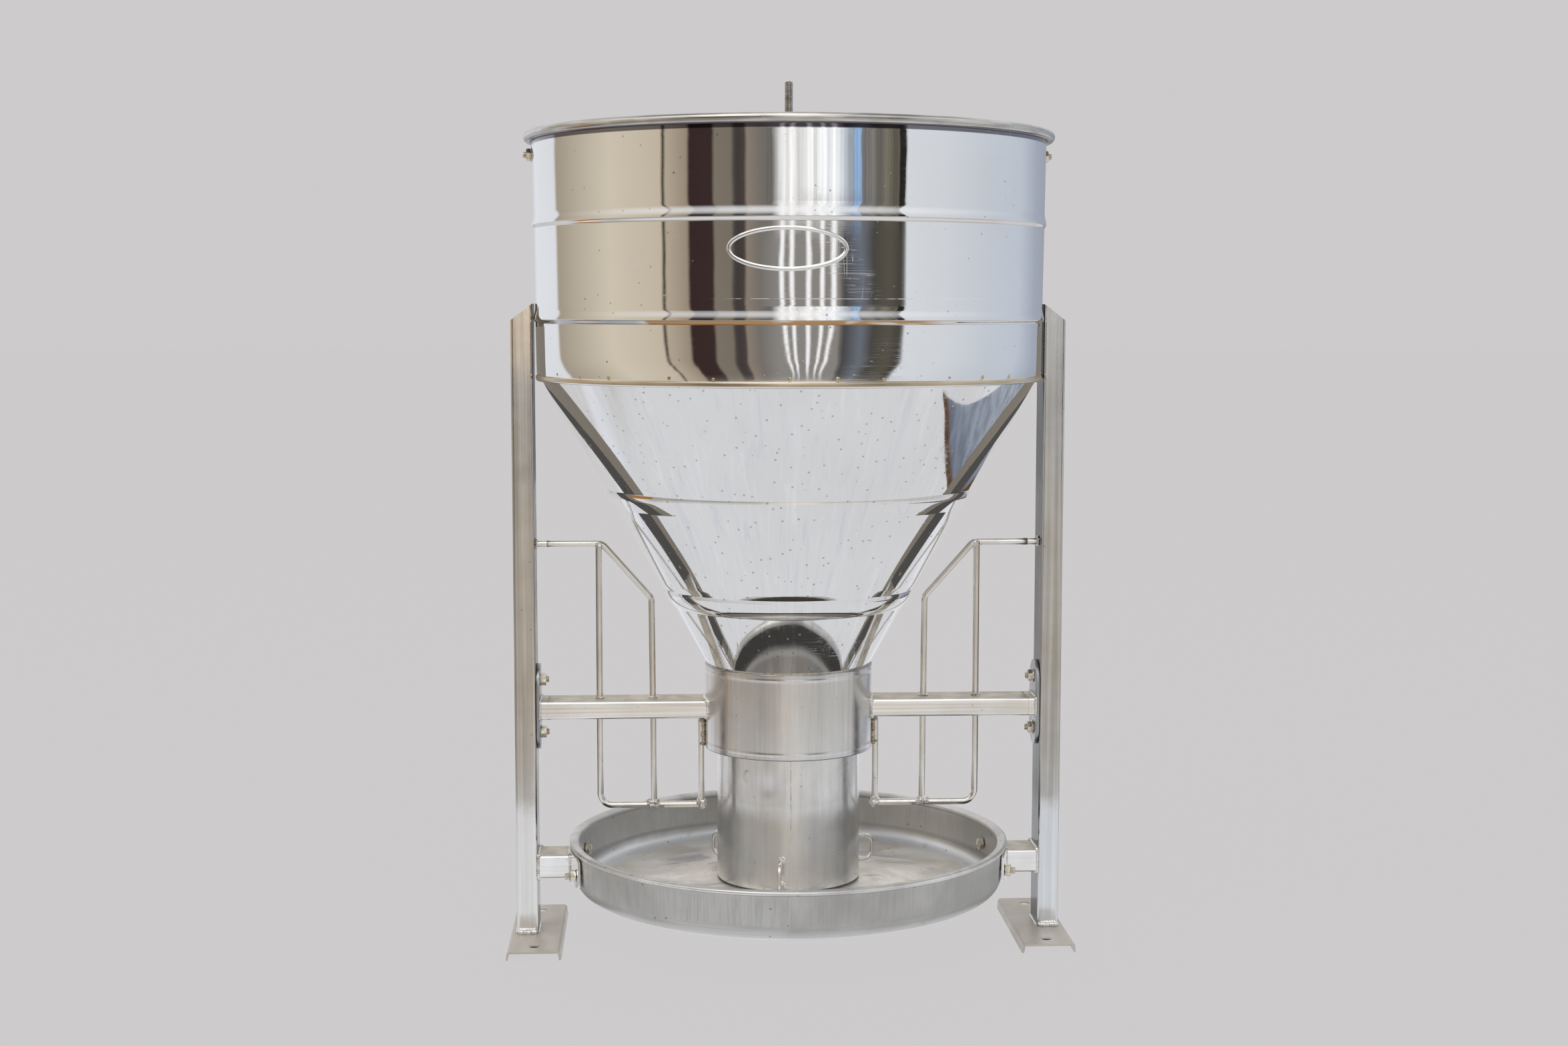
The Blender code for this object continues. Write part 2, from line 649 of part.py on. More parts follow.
stub_high = STUB_Z[1] - STUB_Z[0]
stub_z = (STUB_Z[0] + STUB_Z[1]) / 2
bracket_clear = helper(cylinder(BRACKET_R[1] + GAP, 0.2, sides=144), "bracket_clearance", (0, 0, stub_z))
for side, turn in SIDES:
    across = math.cos(turn)
    start, stop = 0.2560, LEG_X - LEG_WIDE / 2 - GAP
    stub = box_tube(stub_high, LEG_DEEP, stop - start, LEG_CORNER)
    part(stub, "stub_" + side, BRUSHED, (across * (start + stop) / 2, 0, stub_z), (0, QUARTER, turn))
    boolean(stub, bracket_clear, "DIFFERENCE")

    sector = arc((0, 0), BRACKET_R[1], -BRACKET_SPAN, BRACKET_SPAN, 14)
    sector += arc((0, 0), BRACKET_R[0], BRACKET_SPAN, -BRACKET_SPAN, 14)
    bracket = outline([sector], BRACKET_Z[1] - BRACKET_Z[0])
    part(bracket, "tray_bracket_" + side, BRUSHED, (0, 0, sum(BRACKET_Z) / 2), (0, 0, turn))
    for place, way in (("front", -1), ("rear", 1)):
        a = turn + way * across * math.radians(TRAY_BOLT_AT)
        name = f"{side}_{place}"

        def at(radius, angle=a):
            return (radius * math.cos(angle), radius * math.sin(angle), TRAY_BOLT_Z)

        hole = helper(cylinder(M8_R + GAP, 0.030, sides=16), "tray_hole_" + name, at(0.2600), (0, QUARTER, a))
        boolean(tray, hole, "DIFFERENCE")
        boolean(bracket, hole, "DIFFERENCE")
        near, far = TRAY_BOLT_R
        shank = threaded_end(M8_R, far - near + 0.0010)
        part(shank, "tray_bolt_" + name, ZINC, at(near - 0.0010), (0, QUARTER, a))
        head = helper(hexagon(M8_AF, 0.0053), "tray_bolt_head_" + name, (0, 0, 0.0010 - 0.0053))
        follow(shank, head)
        boolean(shank, head, "UNION")
        made = nut("tray_nut_" + name, M8_AF, 0.0065, M8_R + GAP)
        part(made, "tray_nut_" + name, ZINC, at(BRACKET_R[1] + GAP), (0, QUARTER, a))

# ---------------------------------------------------------------- drop tube
tube_profile = [
    (TUBE_R[0], TUBE_Z[0]),
    (TUBE_R[1], TUBE_Z[1]),
    (TUBE_R[1] - TUBE_SHEET, TUBE_Z[1]),
    (TUBE_R[0] - TUBE_SHEET, TUBE_Z[0]),
]
tube = turned([(r, z - TUBE_Z[1]) for r, z in tube_profile])
part(tube, "drop_tube", BRUSHED, (0, 0, TUBE_Z[1]), parent=tube_axis)

bridge = block(2 * BRIDGE_HALF, BRIDGE_WIDE, BRIDGE_THICK)
part(bridge, "tube_bridge", BRUSHED, (0, 0, BRIDGE_TOP - BRIDGE_THICK / 2), parent=tube_axis)
bore = helper(cylinder(NUT_BORE, 0.05, sides=16), "bridge_hole", (0, 0, 0))
follow(bridge, bore)
boolean(bridge, bore, "DIFFERENCE")
made = nut("bridge_nut_upper", M10_AF, 0.0080, NUT_BORE)
part(made, "bridge_nut_upper", ZINC, (0, 0, BRIDGE_TOP + GAP), parent=tube_axis)
made = nut("bridge_nut_lower", M10_AF, 0.0080, NUT_BORE)
part(made, "bridge_nut_lower", ZINC, (0, 0, BRIDGE_TOP - BRIDGE_THICK - GAP - 0.0080), parent=tube_axis)

loop_start = TUBE_R[1] + 0.0007
loop_path = bent(
    [
        (loop_start, 0, LOOP_Z[1]),
        (LOOP_REACH - LOOP_WIRE / 2, 0, LOOP_Z[1]),
        (LOOP_REACH - LOOP_WIRE / 2, 0, LOOP_Z[0]),
        (loop_start, 0, LOOP_Z[0]),
    ],
    0.0110,
    4,
)
for name, azimuth in zip(("front", "right", "rear"), LOOP_AZIMUTHS):
    loop = bar([(p.x, p.y, p.z - TUBE_Z[1]) for p in loop_path], LOOP_WIRE, resolution=2)
    place = (0, 0, TUBE_Z[1])
    part(loop, "push_loop_" + name, BRUSHED, place, (0, 0, math.radians(azimuth)), parent=tube_axis)

# ---------------------------------------------------------------- side guards
leg_face = LEG_X - LEG_WIDE / 2 - GAP
above, below = BEAM_Z[1] + GAP, BEAM_Z[0] - GAP
for side, turn in SIDES:
    frame = bent(
        [(leg_face, 0, GATE_TOP), (0.2225, 0, GATE_TOP), (0.1640, 0, 0.4120), (GATE_B, 0, above)], 0.012, 3
    )
    upper = part(bar(frame, GATE_BAR), "gate_upper_" + side, BRUSHED, rotation=(0, 0, turn))
    post = bar([(GATE_A, 0, above), (GATE_A, 0, GATE_TOP - 0.0012)], GATE_BAR)
    boolean(upper, helper(post, "gate_upper_post_" + side, rotation=(0, 0, turn)), "UNION")

    frame = bent([(GATE_A, 0, below), (GATE_A, 0, GATE_LOW), (GATE_C - 0.0030, 0, GATE_LOW)], 0.0150, 5)
    lower = part(bar(frame, GATE_BAR), "gate_lower_" + side, BRUSHED, rotation=(0, 0, turn))
    for name, x, top in (("b", GATE_B - 0.0005, below), ("c", GATE_C, BEAM_Z[0] - 0.0060)):
        post = bar([(x, 0, top), (x, 0, GATE_LOW + 0.0012)], GATE_BAR)
        boolean(lower, helper(post, f"gate_lower_post_{name}_{side}", rotation=(0, 0, turn)), "UNION")
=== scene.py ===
"""Looks of the round dry feeder: the camera, the plain floor and light, and a finished piece for
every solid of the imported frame. Metres, +Z up, the same frame as the solids."""

import math

import bmesh
import bpy
import numpy as np
from mathutils import Matrix, Vector, noise


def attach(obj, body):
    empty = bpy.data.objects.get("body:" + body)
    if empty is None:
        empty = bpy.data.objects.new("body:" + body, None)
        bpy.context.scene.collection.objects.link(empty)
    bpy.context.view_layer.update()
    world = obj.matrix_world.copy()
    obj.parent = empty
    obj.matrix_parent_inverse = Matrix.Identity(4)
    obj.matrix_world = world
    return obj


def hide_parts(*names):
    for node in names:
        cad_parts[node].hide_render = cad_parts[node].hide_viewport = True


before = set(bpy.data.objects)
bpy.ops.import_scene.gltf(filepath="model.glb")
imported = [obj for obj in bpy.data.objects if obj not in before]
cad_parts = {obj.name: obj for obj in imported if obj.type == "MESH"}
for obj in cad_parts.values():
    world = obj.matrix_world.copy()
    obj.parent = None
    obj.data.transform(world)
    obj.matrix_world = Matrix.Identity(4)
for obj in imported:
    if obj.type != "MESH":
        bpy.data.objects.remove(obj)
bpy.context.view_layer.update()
scene = bpy.context.scene
scene.view_settings.view_transform = "Standard"
scene.view_settings.look = "None"
scene.view_settings.exposure = 0.0
scene.view_settings.gamma = 1.0

FRAME, NUTS, TUBE = "frame", "height_nut", "feed_tube"
SIDES = (("left", -1.0), ("right", 1.0))
TAU = math.tau


# ---------------------------------------------------------------- camera
def make_camera():
    right = Vector((0.998511402, -0.0545389205, 0.000698003))
    up = Vector((0.00464036, 0.09769363, 0.99520572))
    back = right.cross(up).normalized()
    up = back.cross(right).normalized()
    data = bpy.data.cameras.new("camera")
    data.sensor_fit = "HORIZONTAL"
    data.sensor_width = 36.0
    data.lens = 36.0 * 3266.885 / 2350.0
    data.clip_start = 0.05
    data.clip_end = 200.0
    data.dof.use_dof = False
    made = bpy.data.objects.new("camera", data)
    scene.collection.objects.link(made)
    turn = Matrix((right, up, back)).transposed().to_4x4()
    made.matrix_world = Matrix.Translation((-0.14697132, -2.58901325, 0.75623296)) @ turn
    scene.camera = made


make_camera()


# ---------------------------------------------------------------- node helpers
def linear(value):
    value = value / 255.0
    return value / 12.92 if value <= 0.04045 else ((value + 0.055) / 1.055) ** 2.4


def tone(r, g, b, gain=1.0):
    return (linear(r) * gain, linear(g) * gain, linear(b) * gain, 1.0)


class Tree:
    """Short names for the shader nodes used here."""

    def __init__(self, tree):
        self.tree = tree
        tree.nodes.clear()

    def add(self, kind, **settings):
        node = self.tree.nodes.new(kind)
        for key, value in settings.items():
            setattr(node, key, value)
        return node

    def put(self, socket, value):
        if isinstance(value, bpy.types.NodeSocket):
            self.tree.links.new(value, socket)
        elif value is not None:
            socket.default_value = value

    def math(self, operation, a, b=None, c=None, clamp=False):
        node = self.add("ShaderNodeMath", operation=operation, use_clamp=clamp)
        for socket, value in zip(node.inputs, (a, b, c)):
            self.put(socket, value)
        return node.outputs[0]

    def vector(self, operation, a, b=None, scale=None):
        node = self.add("ShaderNodeVectorMath", operation=operation)
        self.put(node.inputs[0], a)
        self.put(node.inputs[1], b)
        if scale is not None:
            self.put(node.inputs["Scale"], scale)
        return node.outputs["Value"] if operation in ("DISTANCE", "LENGTH", "DOT_PRODUCT") else node.outputs[0]

    def mix(self, factor, a, b, blend="MIX"):
        node = self.add("ShaderNodeMix", data_type="RGBA", blend_type=blend)
        node.clamp_factor = True
        self.put(node.inputs[0], factor)
        self.put(node.inputs[6], a)
        self.put(node.inputs[7], b)
        return node.outputs[2]

    def blend(self, factor, a, b):
        node = self.add("ShaderNodeMix", data_type="FLOAT")
        self.put(node.inputs[0], factor)
        self.put(node.inputs[2], a)
        self.put(node.inputs[3], b)
        return node.outputs[0]

    def span(self, value, low, high, to_low=0.0, to_high=1.0, smooth=True):
        node = self.add("ShaderNodeMapRange", interpolation_type="SMOOTHSTEP" if smooth else "LINEAR")
        for socket, item in zip(node.inputs, (value, low, high, to_low, to_high)):
            self.put(socket, item)
        return node.outputs[0]

    def ramp(self, value, stops, kind="LINEAR"):
        node = self.add("ShaderNodeValToRGB")
        ramp = node.color_ramp
        ramp.interpolation = kind
        while len(ramp.elements) > 1:
            ramp.elements.remove(ramp.elements[-1])
        ramp.elements[0].position = stops[0][0]
        ramp.elements[0].color = stops[0][1]
        for place, colour in stops[1:]:
            ramp.elements.new(place).color = colour
        self.put(node.inputs[0], value)
        return node.outputs[0]

    def noise(self, vector, scale, detail=2.0, rough=0.5, distortion=0.0, dimensions="3D"):
        node = self.add("ShaderNodeTexNoise", noise_dimensions=dimensions)
        if vector is not None:
            self.put(node.inputs["Vector"], vector)
        node.inputs["Scale"].default_value = scale
        node.inputs["Detail"].default_value = detail
        node.inputs["Roughness"].default_value = rough
        node.inputs["Distortion"].default_value = distortion
        return node.outputs[0]

    def cells(self, vector, scale, feature="F1", randomness=1.0):
        node = self.add("ShaderNodeTexVoronoi", feature=feature)
        self.put(node.inputs["Vector"], vector)
        node.inputs["Scale"].default_value = scale
        node.inputs["Randomness"].default_value = randomness
        return node

    def stretch(self, vector, scale, offset=(0, 0, 0), turn=(0, 0, 0)):
        node = self.add("ShaderNodeMapping")
        self.put(node.inputs["Vector"], vector)
        node.inputs["Location"].default_value = offset
        node.inputs["Rotation"].default_value = turn
        node.inputs["Scale"].default_value = scale
        return node.outputs[0]

    def bump(self, height, distance, strength=1.0, normal=None):
        node = self.add("ShaderNodeBump")
        self.put(node.inputs["Height"], height)
        node.inputs["Strength"].default_value = strength
        node.inputs["Distance"].default_value = distance
        if normal is not None:
            self.put(node.inputs["Normal"], normal)
        return node.outputs[0]


# ---------------------------------------------------------------- light and floor
MIRROR = 0.80  # what the polished sheet gives back


def at(degrees):
    return (degrees + 180.0) / 360.0


def make_world():
    world = bpy.data.worlds.new("world")
    scene.world = world
    world.use_nodes = True
    t = Tree(world.node_tree)
    place = t.add("ShaderNodeTexCoord").outputs["Generated"]
    split = t.add("ShaderNodeSeparateXYZ")
    t.put(split.inputs[0], place)
    x, y, z = split.outputs
    azimuth = t.math("MULTIPLY", t.math("ARCTAN2", x, t.math("MULTIPLY", y, -1.0)), 180.0 / math.pi)
    height = t.math("MULTIPLY", t.math("ARCSINE", z), 180.0 / math.pi)
    wave = t.math("SUBTRACT", t.noise(t.stretch(place, (1, 1, 9)), 7.0, 3.0), 0.5)
    squeeze = t.span(height, -8.0, -1.2, 1.30, 1.0)
    turned = t.math("MULTIPLY", azimuth, squeeze)
    turned = t.math("ADD", turned, t.math("MULTIPLY", wave, 1.6))
    g = 1.0 / MIRROR

    def c(*rgb):
        return tone(*rgb, gain=g)

    share = t.math("ADD", t.math("DIVIDE", turned, 360.0), 0.5)
    around = t.ramp(
        share,
        [
            (at(-180), c(166, 169, 174)),
            (at(-158), c(214, 217, 223)),
            (at(-131), c(216, 219, 224)),
            (at(-128.6), c(206, 206, 204)),
            (at(-127.8), c(158, 148, 133)),
            (at(-88), c(204, 194, 176)),
            (at(-60.4), c(192, 180, 162)),
            (at(-59.8), c(42, 38, 37)),
            (at(-58.8), c(44, 40, 38)),
            (at(-58.2), c(178, 164, 146)),
            (at(-47.6), c(150, 137, 121)),
            (at(-46.9), c(54, 40, 40)),
            (at(-35.9), c(56, 44, 42)),
            (at(-35.2), c(122, 114, 103)),
            (at(-27.4), c(118, 110, 99)),
            (at(-26.6), c(60, 56, 56)),
            (at(-22.2), c(72, 64, 62)),
            (at(-21.4), c(138, 126, 114)),
            (at(-15.6), c(116, 111, 106)),
            (at(-7.6), c(136, 133, 130)),
            (at(18.8), c(134, 130, 126)),
            (at(20.2), c(68, 66, 65)),
            (at(28.5), c(104, 110, 120)),
            (at(33.5), c(72, 70, 66)),
            (at(41.5), c(86, 82, 72)),
            (at(47.7), c(62, 60, 58)),
            (at(48.4), c(212, 216, 221)),
            (at(70), c(207, 211, 217)),
            (at(94), c(193, 200, 209)),
            (at(121), c(185, 193, 205)),
            (at(140), c(156, 163, 178)),
            (at(180), c(132, 135, 140)),
        ],
    )
    # The lit opening in front, over the horizon, and what stands beside it.
    local = t.span(turned, -20.0, 50.0, smooth=False)

    def here(degrees):
        return (degrees + 20.0) / 70.0

    opening = t.ramp(
        local,
        [
            (here(-17), c(118, 111, 104)),
            (here(-10.5), c(106, 103, 99)),
            (here(-8.2), c(196, 196, 196)),
            (here(-6.2), c(250, 250, 250)),
            (here(-3.6), c(222, 222, 222)),
            (here(-2.2), c(255, 255, 255)),
            (here(1.0), c(214, 214, 213)),
            (here(6.0), c(255, 255, 255)),
            (here(8.2), c(226, 228, 230)),
            (here(11.0), c(255, 255, 255)),
            (here(13.4), c(232, 235, 240)),
            (here(16.4), c(252, 254, 255)),
            (here(20.6), c(190, 198, 208)),
            (here(24.4), c(150, 156, 164)),
            (here(25.0), c(140, 172, 212)),
            (here(27.6), c(150, 180, 216)),
            (here(28.4), c(112, 112, 112)),
            (here(33.0), c(126, 123, 118)),
            (here(36.0), c(96, 94, 90)),
            (here(39.0), c(122, 118, 106)),
            (here(43.0), c(92, 88, 78)),
            (here(44.8), c(100, 96, 86)),
            (here(45.6), c(36, 34, 32)),
            (here(47.9), c(40, 38, 36)),
        ],
    )
    stripes = t.noise(t.stretch(place, (1, 1, 0.1)), 60.0, 2.0)
    opening = t.mix(1.0, opening, t.span(stripes, 0.3, 0.7, 0.84, 1.10), "MULTIPLY")
    inside = t.math(
        "MULTIPLY", t.span(turned, -17.0, -13.0), t.span(turned, 48.2, 48.4, 1.0, 0.0, smooth=False)
    )
    edge = t.math("ADD", height, t.math("MULTIPLY", wave, 1.2))
    around = t.mix(t.math("MULTIPLY", inside, t.span(edge, 0.35, 1.7)), around, opening)
    # Lamps that show as thin lines under the opening.
    pinch = t.span(height, -5.0, -0.8, 1.9, 1.0)
    lamp_at = t.math("MULTIPLY", t.math("SUBTRACT", azimuth, 4.0), pinch)
    lamp_at = t.math("ADD", lamp_at, t.math("MULTIPLY", wave, 1.8))
    lamps = t.span(lamp_at, -20.0, 20.0, smooth=False)
    dark, lit = (0, 0, 0, 1), (1, 1, 1, 1)
    stops = [(0.0, dark)]
    for degrees, wide in ((-9.9, 0.75), (-5.6, 0.7), (1.5, 0.8), (7.2, 0.65), (12.1, 0.85)):
        middle = (degrees + 20.0) / 40.0
        half = wide / 40.0
        stops += [(middle - 2 * half, dark), (middle - half * 0.5, lit), (middle + half * 0.5, lit), (middle + 2 * half, dark)]
    stops.append((1.0, dark))
    lamp = t.ramp(lamps, stops)
    lamp = t.math("MULTIPLY", lamp, t.math("MULTIPLY", t.span(edge, 0.7, 1.7, 1.0, 0.0), t.span(height, -7.0, -3.0)))
    around = t.mix(lamp, around, c(246, 246, 247))

    sky_share = t.math("ABSOLUTE", azimuth)
    sky = t.ramp(
        t.math("DIVIDE", sky_share, 180.0),
        [(0.0, (1.16, 1.17, 1.19, 1)), (0.45, (1.06, 1.08, 1.12, 1)), (0.75, (0.90, 0.90, 0.91, 1)), (1.0, (0.86, 0.85, 0.84, 1))],
    )
    zenith = t.mix(t.span(height, 42.0, 58.0), sky, (0.36, 0.36, 0.37, 1))
    zenith = t.mix(t.span(height, 70.0, 85.0), zenith, (0.60, 0.60, 0.61, 1))
    ground = t.ramp(
        t.math("DIVIDE", sky_share, 180.0),
        [(0.0, (0.56, 0.53, 0.49, 1)), (0.5, (0.50, 0.49, 0.48, 1)), (0.62, (0.64, 0.66, 0.69, 1)), (1.0, (0.62, 0.64, 0.67, 1))],
    )
    behind = t.span(sky_share, 140.0, 165.0)
    lift = t.math("MULTIPLY", behind, 9.0)
    seen = t.mix(t.span(t.math("ADD", height, lift), 10.0, 42.0), around, zenith)
    seen = t.mix(t.math("MULTIPLY", behind, t.span(height, 5.0, 16.0)), seen, (0.80, 0.79, 0.78, 1))
    seen = t.mix(t.span(height, -9.0, -4.5, 1.0, 0.0), seen, ground)

    flat = t.add("ShaderNodeBackground")
    flat.inputs[0].default_value = tone(205, 203, 204)
    lit_by = t.add("ShaderNodeBackground")
    t.put(lit_by.inputs[0], seen)
    choose = t.add("ShaderNodeMixShader")
    path = t.add("ShaderNodeLightPath")
    t.put(choose.inputs[0], path.outputs["Is Camera Ray"])
    t.put(choose.inputs[1], lit_by.outputs[0])
    t.put(choose.inputs[2], flat.outputs[0])
    out = t.add("ShaderNodeOutputWorld")
    t.put(out.inputs[0], choose.outputs[0])


def disc(name, radius, z, rings=24, sides=96):
    verts, faces = [(0.0, 0.0, z)], []
    for i in range(1, rings + 1):
        r = radius * i / rings
        verts += [(r * math.cos(TAU * k / sides), r * math.sin(TAU * k / sides), z) for k in range(sides)]
    for k in range(sides):
        faces.append((0, 1 + k, 1 + (k + 1) % sides))
    for i in range(rings - 1):
        a, b = 1 + i * sides, 1 + (i + 1) * sides
        for k in range(sides):
            n = (k + 1) % sides
            faces.append((a + k, b + k, b + n, a + n))
    mesh = bpy.data.meshes.new(name)
    mesh.from_pydata(verts, [], faces)
    made = bpy.data.objects.new(name, mesh)
    scene.collection.objects.link(made)
    return made


def make_floor():
    floor = disc("floor", 40.0, -0.0006)
    made = bpy.data.materials.new("floor_pale")
    made.use_nodes = True
    t = Tree(made.node_tree)
    split = t.add("ShaderNodeSeparateXYZ")
    t.put(split.inputs[0], t.add("ShaderNodeTexCoord").outputs["Object"])
    across = t.math("ABSOLUTE", split.outputs[0])
    # painted shadow on the floor under each foot's holes, seen through them
    shade = t.math("MULTIPLY", t.span(across, 0.2900, 0.2920), t.span(across, 0.3160, 0.3180, 1.0, 0.0))
    shade = t.math("MULTIPLY", shade, t.span(split.outputs[1], -0.0620, -0.0600))
    shade = t.math("MULTIPLY", shade, t.span(split.outputs[1], -0.0140, -0.0120, 1.0, 0.0))
    glow = t.add("ShaderNodeEmission")
    t.put(glow.inputs[0], t.mix(shade, tone(205, 203, 204), tone(58, 52, 46)))
    glow.inputs[1].default_value = 0.965
    matt = t.add("ShaderNodeBsdfDiffuse")
    matt.inputs[0].default_value = (0.027, 0.027, 0.027, 1)
    both = t.add("ShaderNodeAddShader")
    t.put(both.inputs[0], glow.outputs[0])
    t.put(both.inputs[1], matt.outputs[0])
    out = t.add("ShaderNodeOutputMaterial")
    t.put(out.inputs[0], both.outputs[0])
    floor.data.materials.append(made)
    floor.visible_glossy = False
    floor.visible_diffuse = False

    # The same floor as the metal mirrors it: brightest under the feeder.
    sheen = disc("floor_sheen", 7.0, -0.0012)
    made = bpy.data.materials.new("floor_sheen")
    made.use_nodes = True
    t = Tree(made.node_tree)
    place = t.add("ShaderNodeTexCoord").outputs["Object"]
    away = t.vector("LENGTH", place)
    away = t.math("ADD", away, t.math("MULTIPLY", t.math("SUBTRACT", t.noise(place, 2.2, 2.0), 0.5), 0.35))
    colour = t.ramp(
        t.math("DIVIDE", away, 7.0),
        [
            (0.0, (0.79, 0.80, 0.825, 1)),
            (0.125, (0.78, 0.79, 0.815, 1)),
            (0.20, (0.46, 0.43, 0.39, 1)),
            (0.45, (0.40, 0.37, 0.33, 1)),
            (1.0, (0.42, 0.39, 0.35, 1)),
        ],
    )
    split = t.add("ShaderNodeSeparateXYZ")
    t.put(split.inputs[0], place)
    turn = t.math("ARCTAN2", split.outputs[0], t.math("MULTIPLY", split.outputs[1], -1.0))
    ahead = t.ramp(
        t.span(t.math("MULTIPLY", turn, 180.0 / math.pi), -180.0, 180.0, smooth=False),
        [
            (0.0, (1.62, 1.72, 1.92, 1)),
            (at(-112), (1.62, 1.72, 1.92, 1)),
            (at(-96), (1.0, 1.0, 1.0, 1)),
            (at(-40), (1.0, 1.0, 1.0, 1)),
            (at(-22), (1.12, 1.12, 1.12, 1)),
            (at(-9), (1.62, 1.60, 1.58, 1)),
            (at(7), (1.72, 1.70, 1.68, 1)),
            (at(21), (1.45, 1.47, 1.50, 1)),
            (at(95), (1.38, 1.42, 1.50, 1)),
            (at(112), (1.62, 1.72, 1.92, 1)),
            (1.0, (1.62, 1.72, 1.92, 1)),
        ],
    )
    ahead = t.mix(t.span(away, 0.85, 1.35), (1, 1, 1, 1), ahead)
    colour = t.mix(1.0, colour, ahead, "MULTIPLY")
    glow = t.add("ShaderNodeEmission")
    t.put(glow.inputs[0], colour)
    out = t.add("ShaderNodeOutputMaterial")
    t.put(out.inputs[0], glow.outputs[0])
    sheen.data.materials.append(made)
    sheen.visible_camera = False
    sheen.visible_diffuse = False
    sheen.visible_shadow = False

    # A slate-coloured mat beside the feeder that only the metal shows.
    corners = [(0.862, -0.215), (1.34, 0.70), (2.1, 2.6), (1.05, 2.2), (0.93, 0.34)]
    mat = bpy.data.objects.new("floor_mat", bpy.data.meshes.new("floor_mat"))
    mat.data.from_pydata([(x, y, 0.0006) for x, y in corners], [], [tuple(range(len(corners)))])
    scene.collection.objects.link(mat)
    made = bpy.data.materials.new("floor_mat")
    made.use_nodes = True
    t = Tree(made.node_tree)
    place = t.add("ShaderNodeTexCoord").outputs["Object"]
    split = t.add("ShaderNodeSeparateXYZ")
    t.put(split.inputs[0], place)
    # how far in from the edge nearest the feeder
    border = t.math("SUBTRACT", split.outputs[0], t.math("MULTIPLY", split.outputs[1], 0.124))
    colour = t.ramp(
        t.span(border, 0.870, 1.20, smooth=False),
        [(0.0, (0.115, 0.060, 0.030, 1)), (0.11, (0.13, 0.07, 0.035, 1)), (0.16, (0.20, 0.23, 0.30, 1)), (0.5, (0.30, 0.34, 0.42, 1)), (1.0, (0.36, 0.40, 0.47, 1))],
    )
    streaks = t.noise(t.stretch(place, (9, 2.2, 1)), 2.0, 2.0)
    colour = t.mix(1.0, colour, t.span(streaks, 0.3, 0.7, 0.75, 1.2), "MULTIPLY")
    glow = t.add("ShaderNodeEmission")
    t.put(glow.inputs[0], colour)
    out = t.add("ShaderNodeOutputMaterial")
    t.put(out.inputs[0], glow.outputs[0])
    mat.data.materials.append(made)
    mat.visible_camera = False
    mat.visible_diffuse = False
    mat.visible_shadow = False

    # Cards beside the legs that only the polished metal shows, from the middle outwards: painted
    # shade of each leg's inner face and a painted reflection of its front, as the cone mirrors
    # them; and a brown board lying far to the left.
    def flag(name, corners, shade, both=False):
        made = bpy.data.objects.new(name, bpy.data.meshes.new(name))
        made.data.from_pydata(corners, [], [tuple(range(len(corners)))])
        scene.collection.objects.link(made)
        look = bpy.data.materials.new(name)
        look.use_nodes = True
        t = Tree(look.node_tree)
        dim = t.add("ShaderNodeEmission")
        dim.inputs[0].default_value = shade
        out = t.add("ShaderNodeOutputMaterial")
        if both:
            t.put(out.inputs[0], dim.outputs[0])
        else:
            pick = t.add("ShaderNodeMixShader")
            t.put(pick.inputs[0], t.add("ShaderNodeNewGeometry").outputs["Backfacing"])
            t.put(pick.inputs[1], dim.outputs[0])
            t.put(pick.inputs[2], t.add("ShaderNodeBsdfTransparent").outputs[0])
            t.put(out.inputs[0], pick.outputs[0])
        made.data.materials.append(look)
        made.visible_camera = False
        made.visible_diffuse = False
        made.visible_shadow = False

    for side, across in SIDES:
        low, high = 0.150, 0.735
        x = across * 0.2878
        corners = [(x, -0.0255, low), (x, 0.0255, low), (x, 0.0255, high), (x, -0.0255, high)]
        if across < 0:
            corners.reverse()
        # painted shade: the leg's inner face as the cone mirrors it
        flag("leg_shade_card_inner_" + side, corners[::-1], tone(84, 82, 80))
        x, far, y = across * 0.2878, across * 0.3268, -0.0262
        corners = [(x, y, low), (far, y, low), (far, y, high), (x, y, high)]
        if across < 0:
            corners.reverse()
        # painted reflection: the leg's front as the cone mirrors it
        flag("leg_reflection_card_front_" + side, corners, tone(134, 127, 118))
    flag("floor_board", [(-2.6, 0.05, 0.0008), (-1.42, 0.12, 0.0008), (-1.38, 0.62, 0.0008), (-2.2, 1.2, 0.0008)], tone(176, 124, 66), both=True)
